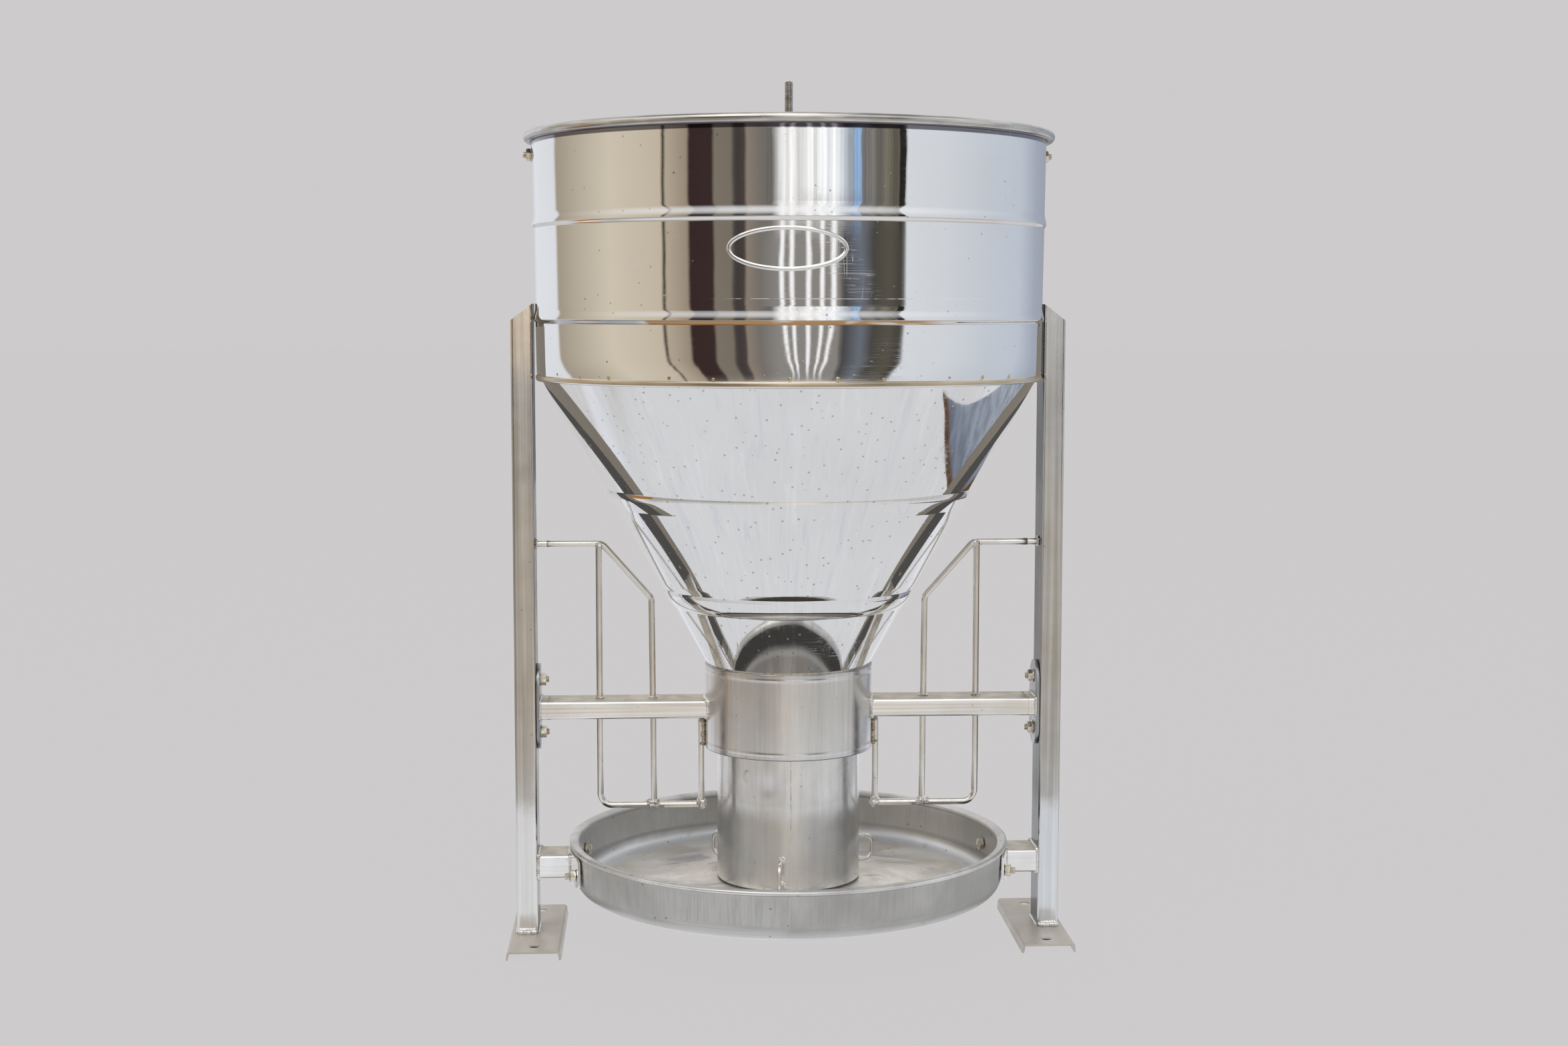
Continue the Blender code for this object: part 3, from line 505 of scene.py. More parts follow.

    # A glowing curved card inside the front of the trough that only the drop tube mirrors, a
    # painted reflection of the trough's inner wall on the tube: it leans inwards and shows from
    # below only, so the cone looks past it.
    verts, faces = [], []
    for k in range(40):
        a = math.radians(-100.0 + 195.0 * k / 39)
        verts += [(r * math.sin(a), -r * math.cos(a), z) for r, z in ((0.2530, 0.0665), (0.2150, 0.1330))]
    for k in range(39):
        faces.append((2 * k, 2 * k + 1, 2 * k + 3, 2 * k + 2))
    card = bpy.data.objects.new("tube_reflection_card", bpy.data.meshes.new("tube_reflection_card"))
    card.data.from_pydata(verts, [], faces)
    scene.collection.objects.link(card)
    look = bpy.data.materials.new("tube_reflection_card")
    look.use_nodes = True
    t = Tree(look.node_tree)
    split = t.add("ShaderNodeSeparateXYZ")
    t.put(split.inputs[0], t.add("ShaderNodeTexCoord").outputs["Object"])
    turn = t.math("ARCTAN2", split.outputs[0], t.math("MULTIPLY", split.outputs[1], -1.0))
    gain = 1.34
    glow = t.add("ShaderNodeEmission")
    t.put(
        glow.inputs[0],
        t.ramp(
            t.span(t.math("MULTIPLY", turn, 180.0 / math.pi), -100.0, 100.0, smooth=False),
            [
                (0.0, tone(98, 98, 97, gain=gain)),
                (0.09, tone(124, 124, 123, gain=gain)),
                (0.19, tone(152, 151, 149, gain=gain)),
                (0.36, tone(154, 150, 145, gain=gain)),
                (0.44, tone(172, 168, 161, gain=gain)),
                (0.50, tone(184, 180, 173, gain=gain)),
                (0.565, tone(172, 169, 165, gain=gain)),
                (0.64, tone(158, 156, 154, gain=gain)),
                (0.72, tone(150, 149, 148, gain=gain)),
                (0.80, tone(138, 137, 136, gain=gain)),
                (0.88, tone(106, 105, 103, gain=gain)),
                (1.0, tone(104, 103, 101, gain=gain)),
            ],
        ),
    )
    pick = t.add("ShaderNodeMixShader")
    t.put(pick.inputs[0], t.add("ShaderNodeNewGeometry").outputs["Backfacing"])
    t.put(pick.inputs[1], glow.outputs[0])
    t.put(pick.inputs[2], t.add("ShaderNodeBsdfTransparent").outputs[0])
    out = t.add("ShaderNodeOutputMaterial")
    t.put(out.inputs[0], pick.outputs[0])
    card.data.materials.append(look)
    card.visible_camera = False
    card.visible_diffuse = False
    card.visible_shadow = False

    # A dim ring over the trough's front edge that only the cone mirrors, painted shade with a
    # lighter arc in the cone's reflection of the trough: it slopes like the tube's own view, so
    # the tube looks past it.
    verts, faces = [], []
    steps = ((0.1500, 0.1557), (0.2130, 0.1389), (0.2480, 0.1296))
    for k in range(49):
        a = math.radians(-120.0 + 5.0 * k)
        verts += [(r * math.sin(a), -r * math.cos(a), z) for r, z in steps]
    for k in range(48):
        for j in range(2):
            faces.append((3 * k + j, 3 * k + j + 1, 3 * k + j + 4, 3 * k + j + 3))
    ring = bpy.data.objects.new("cone_shade_ring", bpy.data.meshes.new("cone_shade_ring"))
    ring.data.from_pydata(verts, [], faces)
    scene.collection.objects.link(ring)
    if ring.data.polygons[0].normal.z < 0:
        ring.data.flip_normals()
    look = bpy.data.materials.new("cone_shade_ring")
    look.use_nodes = True
    t = Tree(look.node_tree)
    split = t.add("ShaderNodeSeparateXYZ")
    t.put(split.inputs[0], t.add("ShaderNodeTexCoord").outputs["Object"])
    glow = t.add("ShaderNodeEmission")
    arc = t.math("MULTIPLY", t.span(split.outputs[2], 0.1390, 0.1404), t.span(split.outputs[2], 0.1412, 0.1430, 1.0, 0.0))
    t.put(glow.inputs[0], t.mix(t.math("MULTIPLY", arc, 0.8), tone(66, 64, 63), tone(136, 129, 119)))
    pick = t.add("ShaderNodeMixShader")
    t.put(pick.inputs[0], t.math("MAXIMUM", t.add("ShaderNodeNewGeometry").outputs["Backfacing"], t.span(split.outputs[2], 0.1366, 0.1400, 0.0, 0.42)))
    t.put(pick.inputs[1], glow.outputs[0])
    t.put(pick.inputs[2], t.add("ShaderNodeBsdfTransparent").outputs[0])
    out = t.add("ShaderNodeOutputMaterial")
    t.put(out.inputs[0], pick.outputs[0])
    ring.data.materials.append(look)
    ring.visible_camera = False
    ring.visible_diffuse = False
    ring.visible_shadow = False

    data = bpy.data.lights.new("soft_light", "AREA")
    data.shape = "RECTANGLE"
    data.size, data.size_y = 3.0, 2.2
    data.energy = 26.0
    data.color = (1.0, 0.985, 0.96)
    lamp = bpy.data.objects.new("soft_light", data)
    scene.collection.objects.link(lamp)
    lamp.location = (-0.6, -1.6, 3.4)
    lamp.rotation_euler = (math.radians(24), math.radians(-10), 0)


make_world()
make_floor()


# ---------------------------------------------------------------- materials
def metal(name):
    made = bpy.data.materials.new(name)
    made.use_nodes = True
    t = Tree(made.node_tree)
    shader = t.add("ShaderNodeBsdfPrincipled")
    shader.inputs["Metallic"].default_value = 1.0
    out = t.add("ShaderNodeOutputMaterial")
    t.put(out.inputs[0], shader.outputs[0])
    place = t.add("ShaderNodeTexCoord").outputs["Object"]
    return made, t, shader, place


def scratches(t, place, scale, turn, density=0.5, sharp=0.03):
    """Thin random lines along one direction."""
    lines = t.stretch(place, scale, turn=turn)
    field = t.noise(lines, 1.0, 1.0, 0.4)
    line = t.span(t.math("ABSOLUTE", t.math("SUBTRACT", field, 0.5)), 0.0, sharp, 1.0, 0.0)
    patch = t.span(t.noise(place, 9.0, 2.0), density, density + 0.12)
    return t.math("MULTIPLY", line, patch)


def specks(t, place, scale, size, keep=0.5):
    """Scattered dots: one in each cell, some of them left out."""
    node = t.cells(place, scale)
    dot = t.span(node.outputs["Distance"], size * 0.5, size, 1.0, 0.0)
    pick = t.add("ShaderNodeSeparateColor")
    t.put(pick.inputs[0], node.outputs["Color"])
    return t.math("MULTIPLY", dot, t.math("GREATER_THAN", pick.outputs[0], keep))


def polished(name, cloudy):
    made, t, shader, place = metal(name)
    split = t.add("ShaderNodeSeparateXYZ")
    t.put(split.inputs[0], place)
    x, y, z = split.outputs
    broad = t.noise(place, 6.0, 3.0, 0.55)
    fine = t.noise(t.stretch(place, (9, 9, 30)), 9.0, 3.0, 0.6)
    dots = specks(t, place, 92.0 if cloudy else 70.0, 0.165 if cloudy else 0.10, 0.10 if cloudy else 0.62)
    dots2 = specks(t, t.stretch(place, (1, 1, 1), offset=(3.1, 1.7, 0.4)), 30.0, 0.055, 0.50)
    marks = t.math("MAXIMUM", t.math("MULTIPLY", dots, 0.75), dots2)
    lines = scratches(t, place, (14, 14, 420), (0.0, 0.12, 0.1), 0.56, 0.012 if cloudy else 0.017)
    lines2 = scratches(t, place, (160, 160, 9), (0.25, 0.1, 0.0), 0.60, 0.02)
    line = t.math("MAXIMUM", lines, lines2)
    base = t.mix(t.span(broad, 0.35, 0.7), (MIRROR, MIRROR * 0.995, MIRROR * 0.99, 1), (MIRROR * 0.965, MIRROR * 0.955, MIRROR * 0.945, 1))
    rough = t.span(fine, 0.3, 0.8, 0.022, 0.055 if not cloudy else 0.060)
    if cloudy:
        # painted reflection: streaks that run down the cone, bluish and white
        turn = t.math("ARCTAN2", y, x)
        wrapped = t.add("ShaderNodeCombineXYZ")
        t.put(wrapped.inputs[0], t.math("MULTIPLY", turn, 16.0))
        t.put(wrapped.inputs[1], t.math("MULTIPLY", z, 11.0))
        strokes = t.noise(wrapped.outputs[0], 1.0, 3.0, 0.6, 1.1)
        wrapped2 = t.add("ShaderNodeCombineXYZ")
        t.put(wrapped2.inputs[0], t.math("MULTIPLY", turn, 46.0))
        t.put(wrapped2.inputs[1], t.math("MULTIPLY", z, 13.0))
        wisps = t.noise(wrapped2.outputs[0], 1.0, 2.0, 0.6, 0.8)
        base = t.mix(t.span(strokes, 0.54, 0.72, 0.0, 0.50), base, (0.88, 0.88, 0.885, 1))
        base = t.mix(t.span(strokes, 0.46, 0.28, 0.0, 0.60), base, (0.675, 0.695, 0.735, 1))
        base = t.mix(t.span(wisps, 0.60, 0.72, 0.0, 0.32), base, (0.92, 0.92, 0.92, 1))
        base = t.mix(t.span(wisps, 0.38, 0.28, 0.0, 0.28), base, (0.62, 0.645, 0.69, 1))
        rough = t.math("ADD", rough, t.span(strokes, 0.5, 0.75, 0.0, 0.03))
    else:
        # painted reflection along the lower bead's foot, brown, bluish and dark by turn, and on the turned hem
        turn = t.math("MULTIPLY", t.math("ARCTAN2", x, t.math("MULTIPLY", y, -1.0)), 180.0 / math.pi)
        foot = t.math("MULTIPLY", t.span(z, 0.7388, 0.7396), t.span(z, 0.7432, 0.7442, 1.0, 0.0))
        patchy = t.noise(t.stretch(place, (14, 14, 60)), 1.0, 2.0)
        brown_reflection = t.math("MULTIPLY", t.span(turn, -37.0, -33.0), t.span(turn, 22.0, 34.0, 1.0, 0.0))
        brown_reflection = t.math("MULTIPLY", brown_reflection, t.span(patchy, 0.62, 0.54, 0.25, 1.0))
        base = t.mix(t.math("MULTIPLY", foot, brown_reflection), base, (0.46, 0.27, 0.12, 1))
        slate = t.math("MULTIPLY", t.span(turn, -66.0, -60.0), t.span(turn, -37.0, -33.0, 1.0, 0.0))
        base = t.mix(t.math("MULTIPLY", foot, slate), base, (0.46, 0.49, 0.55, 1))
        dim = t.math("MULTIPLY", t.span(turn, -80.0, -77.0), t.span(turn, -66.0, -62.0, 1.0, 0.0))
        base = t.mix(t.math("MULTIPLY", foot, dim), base, (0.16, 0.14, 0.11, 1))
        # painted reflection: the turned hem tinted tan
        hem = t.math("MULTIPLY", t.span(z, 0.6788, 0.6794, 1.0, 0.0), t.span(z, 0.6739, 0.6745))
        hem_reflection = t.mix(t.span(patchy, 0.35, 0.65), (0.66, 0.55, 0.39, 1), (0.50, 0.40, 0.26, 1))
        base = t.mix(t.math("MULTIPLY", hem, 0.92), base, hem_reflection)
        rough = t.math("ADD", rough, t.math("MULTIPLY", hem, 0.30))
        # the wired rim is darker, duller and streaky, with painted shade on its left part and a painted shadow in the
        # crease under it
        rolled = t.span(z, 0.9484, 0.9494)
        worn = t.noise(t.stretch(place, (26, 26, 260)), 1.0, 2.0)
        base = t.mix(rolled, base, t.mix(t.span(worn, 0.35, 0.65), (0.62, 0.605, 0.58, 1), (0.47, 0.45, 0.42, 1)))
        # painted shade on the rim's left part
        base = t.mix(t.math("MULTIPLY", rolled, t.span(turn, -130.0, -85.0, 0.45, 0.0)), base, (0.26, 0.25, 0.235, 1))
        rough = t.math("ADD", rough, t.math("MULTIPLY", rolled, 0.18))
        # painted shadow in the crease under the rim
        crease = t.math("MULTIPLY", t.span(z, 0.9440, 0.9450), t.span(z, 0.9494, 0.9504, 1.0, 0.0))
        base = t.mix(t.math("MULTIPLY", crease, 0.90), base, (0.10, 0.095, 0.12, 1))
        # a turning scratch round the front, over the lower bead
        wander = t.noise(t.stretch(place, (5, 5, 5)), 1.0, 1.0)
        level = t.math("ADD", 0.7668, t.math("MULTIPLY", t.math("SUBTRACT", wander, 0.5), 0.0012))
        groove = t.span(t.math("ABSOLUTE", t.math("SUBTRACT", z, level)), 0.00015, 0.00050, 1.0, 0.0)
        groove = t.math("MULTIPLY", groove, t.math("MULTIPLY", t.span(turn, -21.0, -14.0), t.span(turn, 38.0, 46.0, 1.0, 0.0)))
        groove = t.math("MULTIPLY", groove, t.span(t.noise(t.stretch(place, (90, 90, 20)), 1.0, 1.0), 0.40, 0.55, 0.2, 1.0))
        line = t.math("MAXIMUM", line, t.math("MULTIPLY", groove, 1.0))
        base = t.mix(t.math("MULTIPLY", groove, 0.7), base, (1.0, 0.99, 0.97, 1))
    base = t.mix(t.math("MULTIPLY", marks, 0.75), base, (0.30, 0.27, 0.24, 1))
    base = t.mix(t.math("MULTIPLY", line, 0.22 if cloudy else 0.38), base, (0.97, 0.97, 0.97, 1))
    if not cloudy:
        matte_cover = specks(t, t.stretch(place, (1, 1, 1), offset=(0.7, 2.3, 1.1)), 135.0, 0.115, 0.66)
        matte_cover = t.math("MULTIPLY", matte_cover, t.span(t.noise(place, 13.0, 2.0), 0.48, 0.60, 0.0, 0.85))
        matte_cover = t.math("MULTIPLY", matte_cover, t.span(z, 0.9400, 0.9440, 1.0, 0.0))
        base = t.mix(matte_cover, base, (0.66, 0.64, 0.60, 1))
        t.put(shader.inputs["Metallic"], t.span(matte_cover, 0.0, 0.85, 1.0, 0.15, smooth=False))
    t.put(shader.inputs["Base Color"], base)
    rough = t.math("ADD", rough, t.math("MULTIPLY", line, 0.24 if cloudy else 0.40))
    rough = t.math("ADD", rough, t.math("MULTIPLY", marks, 0.30))
    t.put(shader.inputs["Roughness"], rough)
    height = t.math("ADD", t.math("MULTIPLY", fine, 0.35), t.math("MULTIPLY", line, -0.5))
    normal = t.bump(height, 0.00006, 0.10)
    if cloudy:
        wavy = t.noise(t.stretch(place, (10, 10, 2.2)), 2.0, 1.0, 0.4, 0.4)
        normal = t.bump(wavy, 0.0009, 0.12, normal)
    t.put(shader.inputs["Normal"], normal)
    return made


def satin(
    name, grain, base=(0.60, 0.59, 0.57), rough=(0.22, 0.36), tints=(), patchy=1.0, tinted=0.4, streak=None,
    inside=None, edge=1.0, uneven=0.0007, clean=None, dull=0.0, up_tint=None, cool=None, far=None, trim=None, warm=None,
):
    """Mill-finish stainless: grain is the stretch of the drawing lines, streak a broader stretch
    with the darkest and lightest share, inside the |x| within which a leg's faces are darkened
    as painted shade, clean the heights between which it turns lighter towards the floor, up_tint
    the colour and duller finish that upward faces take, cool and far the bluish tints of what
    lies to the right, a painted reflection, trim the heights beyond which a turned edge is
    darkened as painted shade, warm the heights between which the left leg takes on a brighter
    warm tint, a painted reflection."""
    made, t, shader, place = metal(name)
    broad = t.noise(place, 11.0, 3.0, 0.6)
    blot = t.noise(place, 38.0, 3.0, 0.55, 0.3)
    lines = t.noise(t.stretch(place, grain), 1.0, 3.0, 0.65)
    dots = specks(t, place, 95.0, 0.14, 0.80)
    split = t.add("ShaderNodeSeparateXYZ")
    t.put(split.inputs[0], place)
    across = t.math("ABSOLUTE", split.outputs[0])
    r, g, b = base
    p = patchy
    colour = t.mix(
        t.span(broad, 0.34, 0.68),
        (r * (1 + 0.06 * p), g * (1 + 0.06 * p), b * (1 + 0.07 * p), 1),
        (r * (1 - 0.10 * p), g * (1 - 0.115 * p), b * (1 - 0.14 * p), 1),
    )
    colour = t.mix(t.math("MULTIPLY", t.span(lines, 0.42, 0.7), 0.30), colour, (r * 0.80, g * 0.79, b * 0.77, 1))
    if streak is not None:
        stretch, low, high = streak
        bands = t.noise(t.stretch(place, stretch), 1.0, 2.0, 0.5)
        colour = t.mix(1.0, colour, t.span(bands, 0.33, 0.67, low, high), "MULTIPLY")
    colour = t.mix(t.math("MULTIPLY", dots, 0.5), colour, (0.22, 0.20, 0.18, 1))
    for point, reach, shade in tints:
        mirrored = t.add("ShaderNodeCombineXYZ")
        t.put(mirrored.inputs[0], across)
        t.put(mirrored.inputs[1], split.outputs[1])
        t.put(mirrored.inputs[2], split.outputs[2])
        away = t.vector("DISTANCE", mirrored.outputs[0], point)
        away = t.math("ADD", away, t.math("MULTIPLY", t.math("SUBTRACT", blot, 0.5), reach * 0.8))
        colour = t.mix(t.span(away, reach * 0.3, reach, tinted, 0.0), colour, (*shade, 1))
    # lighter towards the floor, below the given heights
    if clean is not None:
        low, high = clean
        ragged = t.math("ADD", split.outputs[2], t.math("MULTIPLY", t.math("SUBTRACT", blot, 0.5), 0.03))
        bright = t.mix(t.span(bands, 0.3, 0.7), (0.80, 0.785, 0.765, 1), (0.90, 0.89, 0.875, 1))
        colour = t.mix(t.span(ragged, low, high, 0.9, 0.0), colour, bright)
    # painted shade: the legs' inner faces darker
    if inside is not None:
        limit, share = inside
        colour = t.mix(1.0, colour, t.span(across, limit - 0.0003, limit + 0.0003, share, 1.0), "MULTIPLY")
    # painted reflection: a bluish tint on the right side
    if cool is not None:
        colour = t.mix(1.0, colour, t.mix(t.span(split.outputs[0], -0.030, 0.030), (1, 1, 1, 1), cool), "MULTIPLY")
    # painted shade: the turned edges darker near the given heights
    if trim is not None:
        low, high = trim
        edges = t.math("MAXIMUM", t.span(split.outputs[2], low, low + 0.0006, 1.0, 0.0), t.span(split.outputs[2], high - 0.0006, high))
        colour = t.mix(1.0, colour, t.span(edges, 0.0, 1.0, 1.0, 0.52, smooth=False), "MULTIPLY")
    # painted reflection: a bluish tint on the right side
    if far is not None:
        colour = t.mix(1.0, colour, t.mix(t.span(split.outputs[0], -0.1, 0.1), (1, 1, 1, 1), far), "MULTIPLY")
    # painted reflection: a brighter warm tint on the left leg between the given heights
    if warm is not None:
        low, high, tint = warm
        there = t.math("MULTIPLY", t.span(split.outputs[2], low, high), t.span(split.outputs[0], -0.1, 0.1, 1.0, 0.0))
        colour = t.mix(1.0, colour, t.mix(there, (1, 1, 1, 1), tint), "MULTIPLY")
    low, high = rough
    value = t.span(blot, 0.3, 0.72, low, high)
    value = t.math("ADD", value, t.math("MULTIPLY", t.math("SUBTRACT", lines, 0.5), 0.12))
    shader.inputs["Specular Tint"].default_value = (edge, edge, edge, 1)
    shader.inputs["Metallic"].default_value = 1.0 - dull
    # upward faces turn tan and duller
    if up_tint is not None:
        facing = t.add("ShaderNodeSeparateXYZ")
        t.put(facing.inputs[0], t.add("ShaderNodeNewGeometry").outputs["True Normal"])
        matte_cover = t.span(facing.outputs[2], 0.80, 0.97)
        grey = t.mix(t.span(blot, 0.35, 0.65), (*up_tint, 1), (up_tint[0] * 0.80, up_tint[1] * 0.80, up_tint[2] * 0.80, 1))
        colour = t.mix(matte_cover, colour, grey)
        value = t.math("ADD", value, t.math("MULTIPLY", matte_cover, 0.30))
        t.put(shader.inputs["Metallic"], t.span(matte_cover, 0.0, 1.0, 1.0 - dull, 0.45, smooth=False))
    t.put(shader.inputs["Base Color"], colour)
    t.put(shader.inputs["Roughness"], value)
    normal = t.bump(lines, 0.00005, 0.5)
    if uneven:
        normal = t.bump(broad, uneven, 0.22, normal)
    t.put(shader.inputs["Normal"], normal)
    return made


def aluminium(name):
    made, t, shader, place = metal(name)
    split = t.add("ShaderNodeSeparateXYZ")
    t.put(split.inputs[0], place)
    x, y, z = split.outputs
    turn = t.math("ARCTAN2", y, x)
    radius = t.math("SQRT", t.math("ADD", t.math("MULTIPLY", x, x), t.math("MULTIPLY", y, y)))
    wrapped = t.add("ShaderNodeCombineXYZ")
    t.put(wrapped.inputs[0], t.math("MULTIPLY", turn, 150.0))
    t.put(wrapped.inputs[1], t.math("MULTIPLY", radius, 14.0))
    t.put(wrapped.inputs[2], t.math("MULTIPLY", z, 22.0))
    upright = t.noise(wrapped.outputs[0], 1.0, 3.0, 0.65)
    wall = t.span(z, 0.079, 0.084)
    spun = t.add("ShaderNodeCombineXYZ")
    t.put(spun.inputs[0], t.math("MULTIPLY", turn, 2.0))
    t.put(spun.inputs[1], t.math("MULTIPLY", radius, 420.0))
    t.put(spun.inputs[2], t.math("MULTIPLY", z, 420.0))
    rings = t.noise(spun.outputs[0], 1.0, 2.0, 0.6)
    grain = t.blend(wall, rings, upright)
    broad = t.noise(place, 7.0, 4.0, 0.6, 0.6)
    small = t.noise(place, 46.0, 3.0, 0.6)
    dots = specks(t, place, 70.0, 0.12, 0.6)
    base = t.mix(t.span(broad, 0.32, 0.7), (0.53, 0.52, 0.50, 1), (0.40, 0.39, 0.37, 1))
    base = t.mix(t.math("MULTIPLY", t.span(grain, 0.45, 0.66), 0.50), base, (0.38, 0.375, 0.365, 1))
    # the floor inside is worn brighter and warmer, in cloudy patches and rubbed rings, with a painted highlight round
    # its edge
    worn = t.noise(t.stretch(place, (1, 1, 1), offset=(0.6, 0.2, 0.0)), 13.0, 4.0, 0.62, 0.8)
    worn_floor_and_highlight = t.mix(t.span(worn, 0.36, 0.60), (0.95, 0.92, 0.87, 1), (0.80, 0.75, 0.68, 1))
    smudge = t.noise(t.stretch(place, (9, 20, 1), offset=(0.3, 0.9, 0.0)), 1.0, 3.0, 0.55, 1.2)
    smudge = t.math("MULTIPLY", t.span(smudge, 0.50, 0.66), t.span(radius, 0.150, 0.225, 1.0, 0.15))
    worn_floor_and_highlight = t.mix(t.math("MULTIPLY", smudge, 0.80), worn_floor_and_highlight, (0.44, 0.455, 0.49, 1))
    worn_floor_and_highlight = t.mix(t.math("MULTIPLY", t.span(rings, 0.50, 0.66), 0.12), worn_floor_and_highlight, (0.52, 0.49, 0.45, 1))
    # painted highlight: a bluish-white ring where the floor turns up into the wall
    worn_floor_and_highlight = t.mix(t.span(radius, 0.224, 0.236, 0.0, 0.80), worn_floor_and_highlight, (0.90, 0.925, 0.955, 1))
    inner = t.math("MULTIPLY", t.span(radius, 0.2485, 0.2525, 1.0, 0.0), t.span(z, 0.0636, 0.0642))
    base = t.mix(inner, base, worn_floor_and_highlight)
    t.put(shader.inputs["Metallic"], t.span(inner, 0.0, 1.0, 1.0, 0.74, smooth=False))
    aside = t.math("MULTIPLY", t.span(radius, 0.2568, 0.2574, 1.0, 0.0), t.span(z, 0.0790, 0.0840))
    base = t.mix(t.math("MULTIPLY", aside, 0.30), base, (0.80, 0.785, 0.755, 1))
    lip = t.span(z, 0.1156, 0.1166)
    base = t.mix(t.math("MULTIPLY", lip, 0.85), base, t.mix(t.span(worn, 0.40, 0.60), (0.80, 0.79, 0.765, 1), (0.62, 0.61, 0.59, 1)))
    # painted highlight: the outer lower corner lighter
    corner_highlight = t.span(z, 0.0660, 0.0780, 1.0, 0.0)
    base = t.mix(t.math("MULTIPLY", t.math("SUBTRACT", 1.0, inner), t.math("MULTIPLY", corner_highlight, 0.6)), base, (0.72, 0.715, 0.70, 1))
    within = t.math("MULTIPLY", t.span(radius, 0.2568, 0.2574, 1.0, 0.0), t.span(z, 0.0636, 0.0642))
    base = t.mix(t.span(small, 0.62, 0.74, 0.0, 0.45), base, (0.50, 0.47, 0.42, 1))
    base = t.mix(t.math("MULTIPLY", dots, 0.7), base, (0.17, 0.15, 0.13, 1))
    t.put(shader.inputs["Base Color"], base)
    rough = t.span(broad, 0.3, 0.7, 0.30, 0.46)
    rough = t.math("ADD", rough, t.math("MULTIPLY", t.math("SUBTRACT", grain, 0.5), 0.25))
    rough = t.math("SUBTRACT", rough, t.span(z, 0.070, 0.078, 0.06, 0.0))
    rough = t.math("ADD", rough, t.math("MULTIPLY", within, 0.10))
    t.put(shader.inputs["Roughness"], rough)
    normal = t.bump(grain, 0.00008, 0.7)
    normal = t.bump(broad, 0.0008, 0.25, normal)
    t.put(shader.inputs["Normal"], normal)
    return made


def zinc(name, base=(0.80, 0.75, 0.65)):
    made, t, shader, place = metal(name)
    broad = t.noise(place, 120.0, 3.0, 0.6)
    fine = t.noise(place, 600.0, 2.0, 0.6)
    r, g, b = base
    colour = t.mix(t.span(broad, 0.35, 0.7), (r, g, b, 1), (r * 0.70, g * 0.66, b * 0.60, 1))
    colour = t.mix(t.span(fine, 0.62, 0.75, 0.0, 0.5), colour, (0.28, 0.23, 0.17, 1))
    t.put(shader.inputs["Base Color"], colour)
    t.put(shader.inputs["Roughness"], t.span(fine, 0.3, 0.7, 0.16, 0.30))
    t.put(shader.inputs["Normal"], t.bump(fine, 0.00005, 0.4))
    return made


def weld_metal(name, base=(0.80, 0.78, 0.74), dark=0.35):
    made, t, shader, place = metal(name)
    fine = t.noise(place, 260.0, 3.0, 0.6)
    broad = t.noise(place, 90.0, 2.0, 0.5)
    r, g, b = base
    colour = t.mix(t.span(broad, 0.48, 0.70, 0.0, dark), (r, g, b, 1), (0.34, 0.27, 0.20, 1))
    colour = t.mix(t.span(fine, 0.66, 0.74, 0.0, 0.7), colour, (0.12, 0.10, 0.08, 1))
    t.put(shader.inputs["Base Color"], colour)
    t.put(shader.inputs["Roughness"], t.span(fine, 0.3, 0.7, 0.18, 0.36))
    t.put(shader.inputs["Normal"], t.bump(broad, 0.0010, 0.7, t.bump(fine, 0.0003, 0.6)))
    return made


DRUM_STEEL = polished("polished_steel_drum", False)
CONE_STEEL = polished("polished_steel_cone", True)
BROWN = (0.40, 0.30, 0.20)
STRAW = (0.56, 0.47, 0.34)
LEG_STEEL = satin(
    "frame_steel_leg",
    (260, 260, 5),
    tints=(
        ((0.3012, 0.0, 0.478), 0.030, STRAW),
        ((0.3012, 0.0, 0.300), 0.030, STRAW),
    ),
    rough=(0.13, 0.25),
    base=(0.62, 0.59, 0.55),
    patchy=0.9,
    streak=((190, 190, 2.4), 0.84, 1.12),
    # painted shade on the legs' inner faces
    inside=(0.3020, 0.66),
    edge=0.55,
    uneven=0.0004,
    # lighter towards the floor
    clean=(0.150, 0.180),
    # painted reflection: a bluish tint on the right leg
    far=(0.91, 0.945, 0.985, 1),
    # painted reflection: a brighter warm tint near the top of the left leg
    warm=(0.660, 0.715, (1.34, 1.22, 1.06, 1)),
)
BEAM_STEEL = satin(
    "frame_steel_beam",
    (5, 260, 260),
    tints=(((0.104, 0.0, 0.281), 0.032, STRAW), ((0.292, 0.0, 0.281), 0.030, STRAW)),
    rough=(0.12, 0.24),
    base=(0.90, 0.895, 0.885),
    patchy=0.7,
    tinted=0.2,
    streak=((3.0, 240, 240), 0.84, 1.08),
    uneven=0.0003,
    up_tint=(0.71, 0.645, 0.54),
)
PLATE_STEEL = satin(
    "frame_steel_plate", (120, 160, 160), rough=(0.22, 0.36), base=(0.37, 0.38, 0.395), patchy=1.1, uneven=0.0003,
)
BAR_STEEL = satin("frame_steel_bar", (120, 120, 30), rough=(0.14, 0.24), base=(0.78, 0.755, 0.71), patchy=0.9, uneven=0.0002)
FOOT_STEEL = satin("frame_steel_foot", (26, 9, 26), rough=(0.34, 0.48), base=(0.60, 0.555, 0.495), patchy=0.7, uneven=0.0003, dull=0.6)
COLLAR_STEEL = satin(
    "satin_steel_collar", (260, 260, 8), rough=(0.20, 0.28), base=(0.71, 0.695, 0.68), patchy=0.45, uneven=0.0,
    # painted reflection: a bluish tint on the right side
    streak=((150, 150, 4.0), 0.96, 1.03), cool=(1.0, 1.03, 1.06, 1),
    # painted shade at the collar's turned edges
    trim=(0.2334, 0.3328),
)
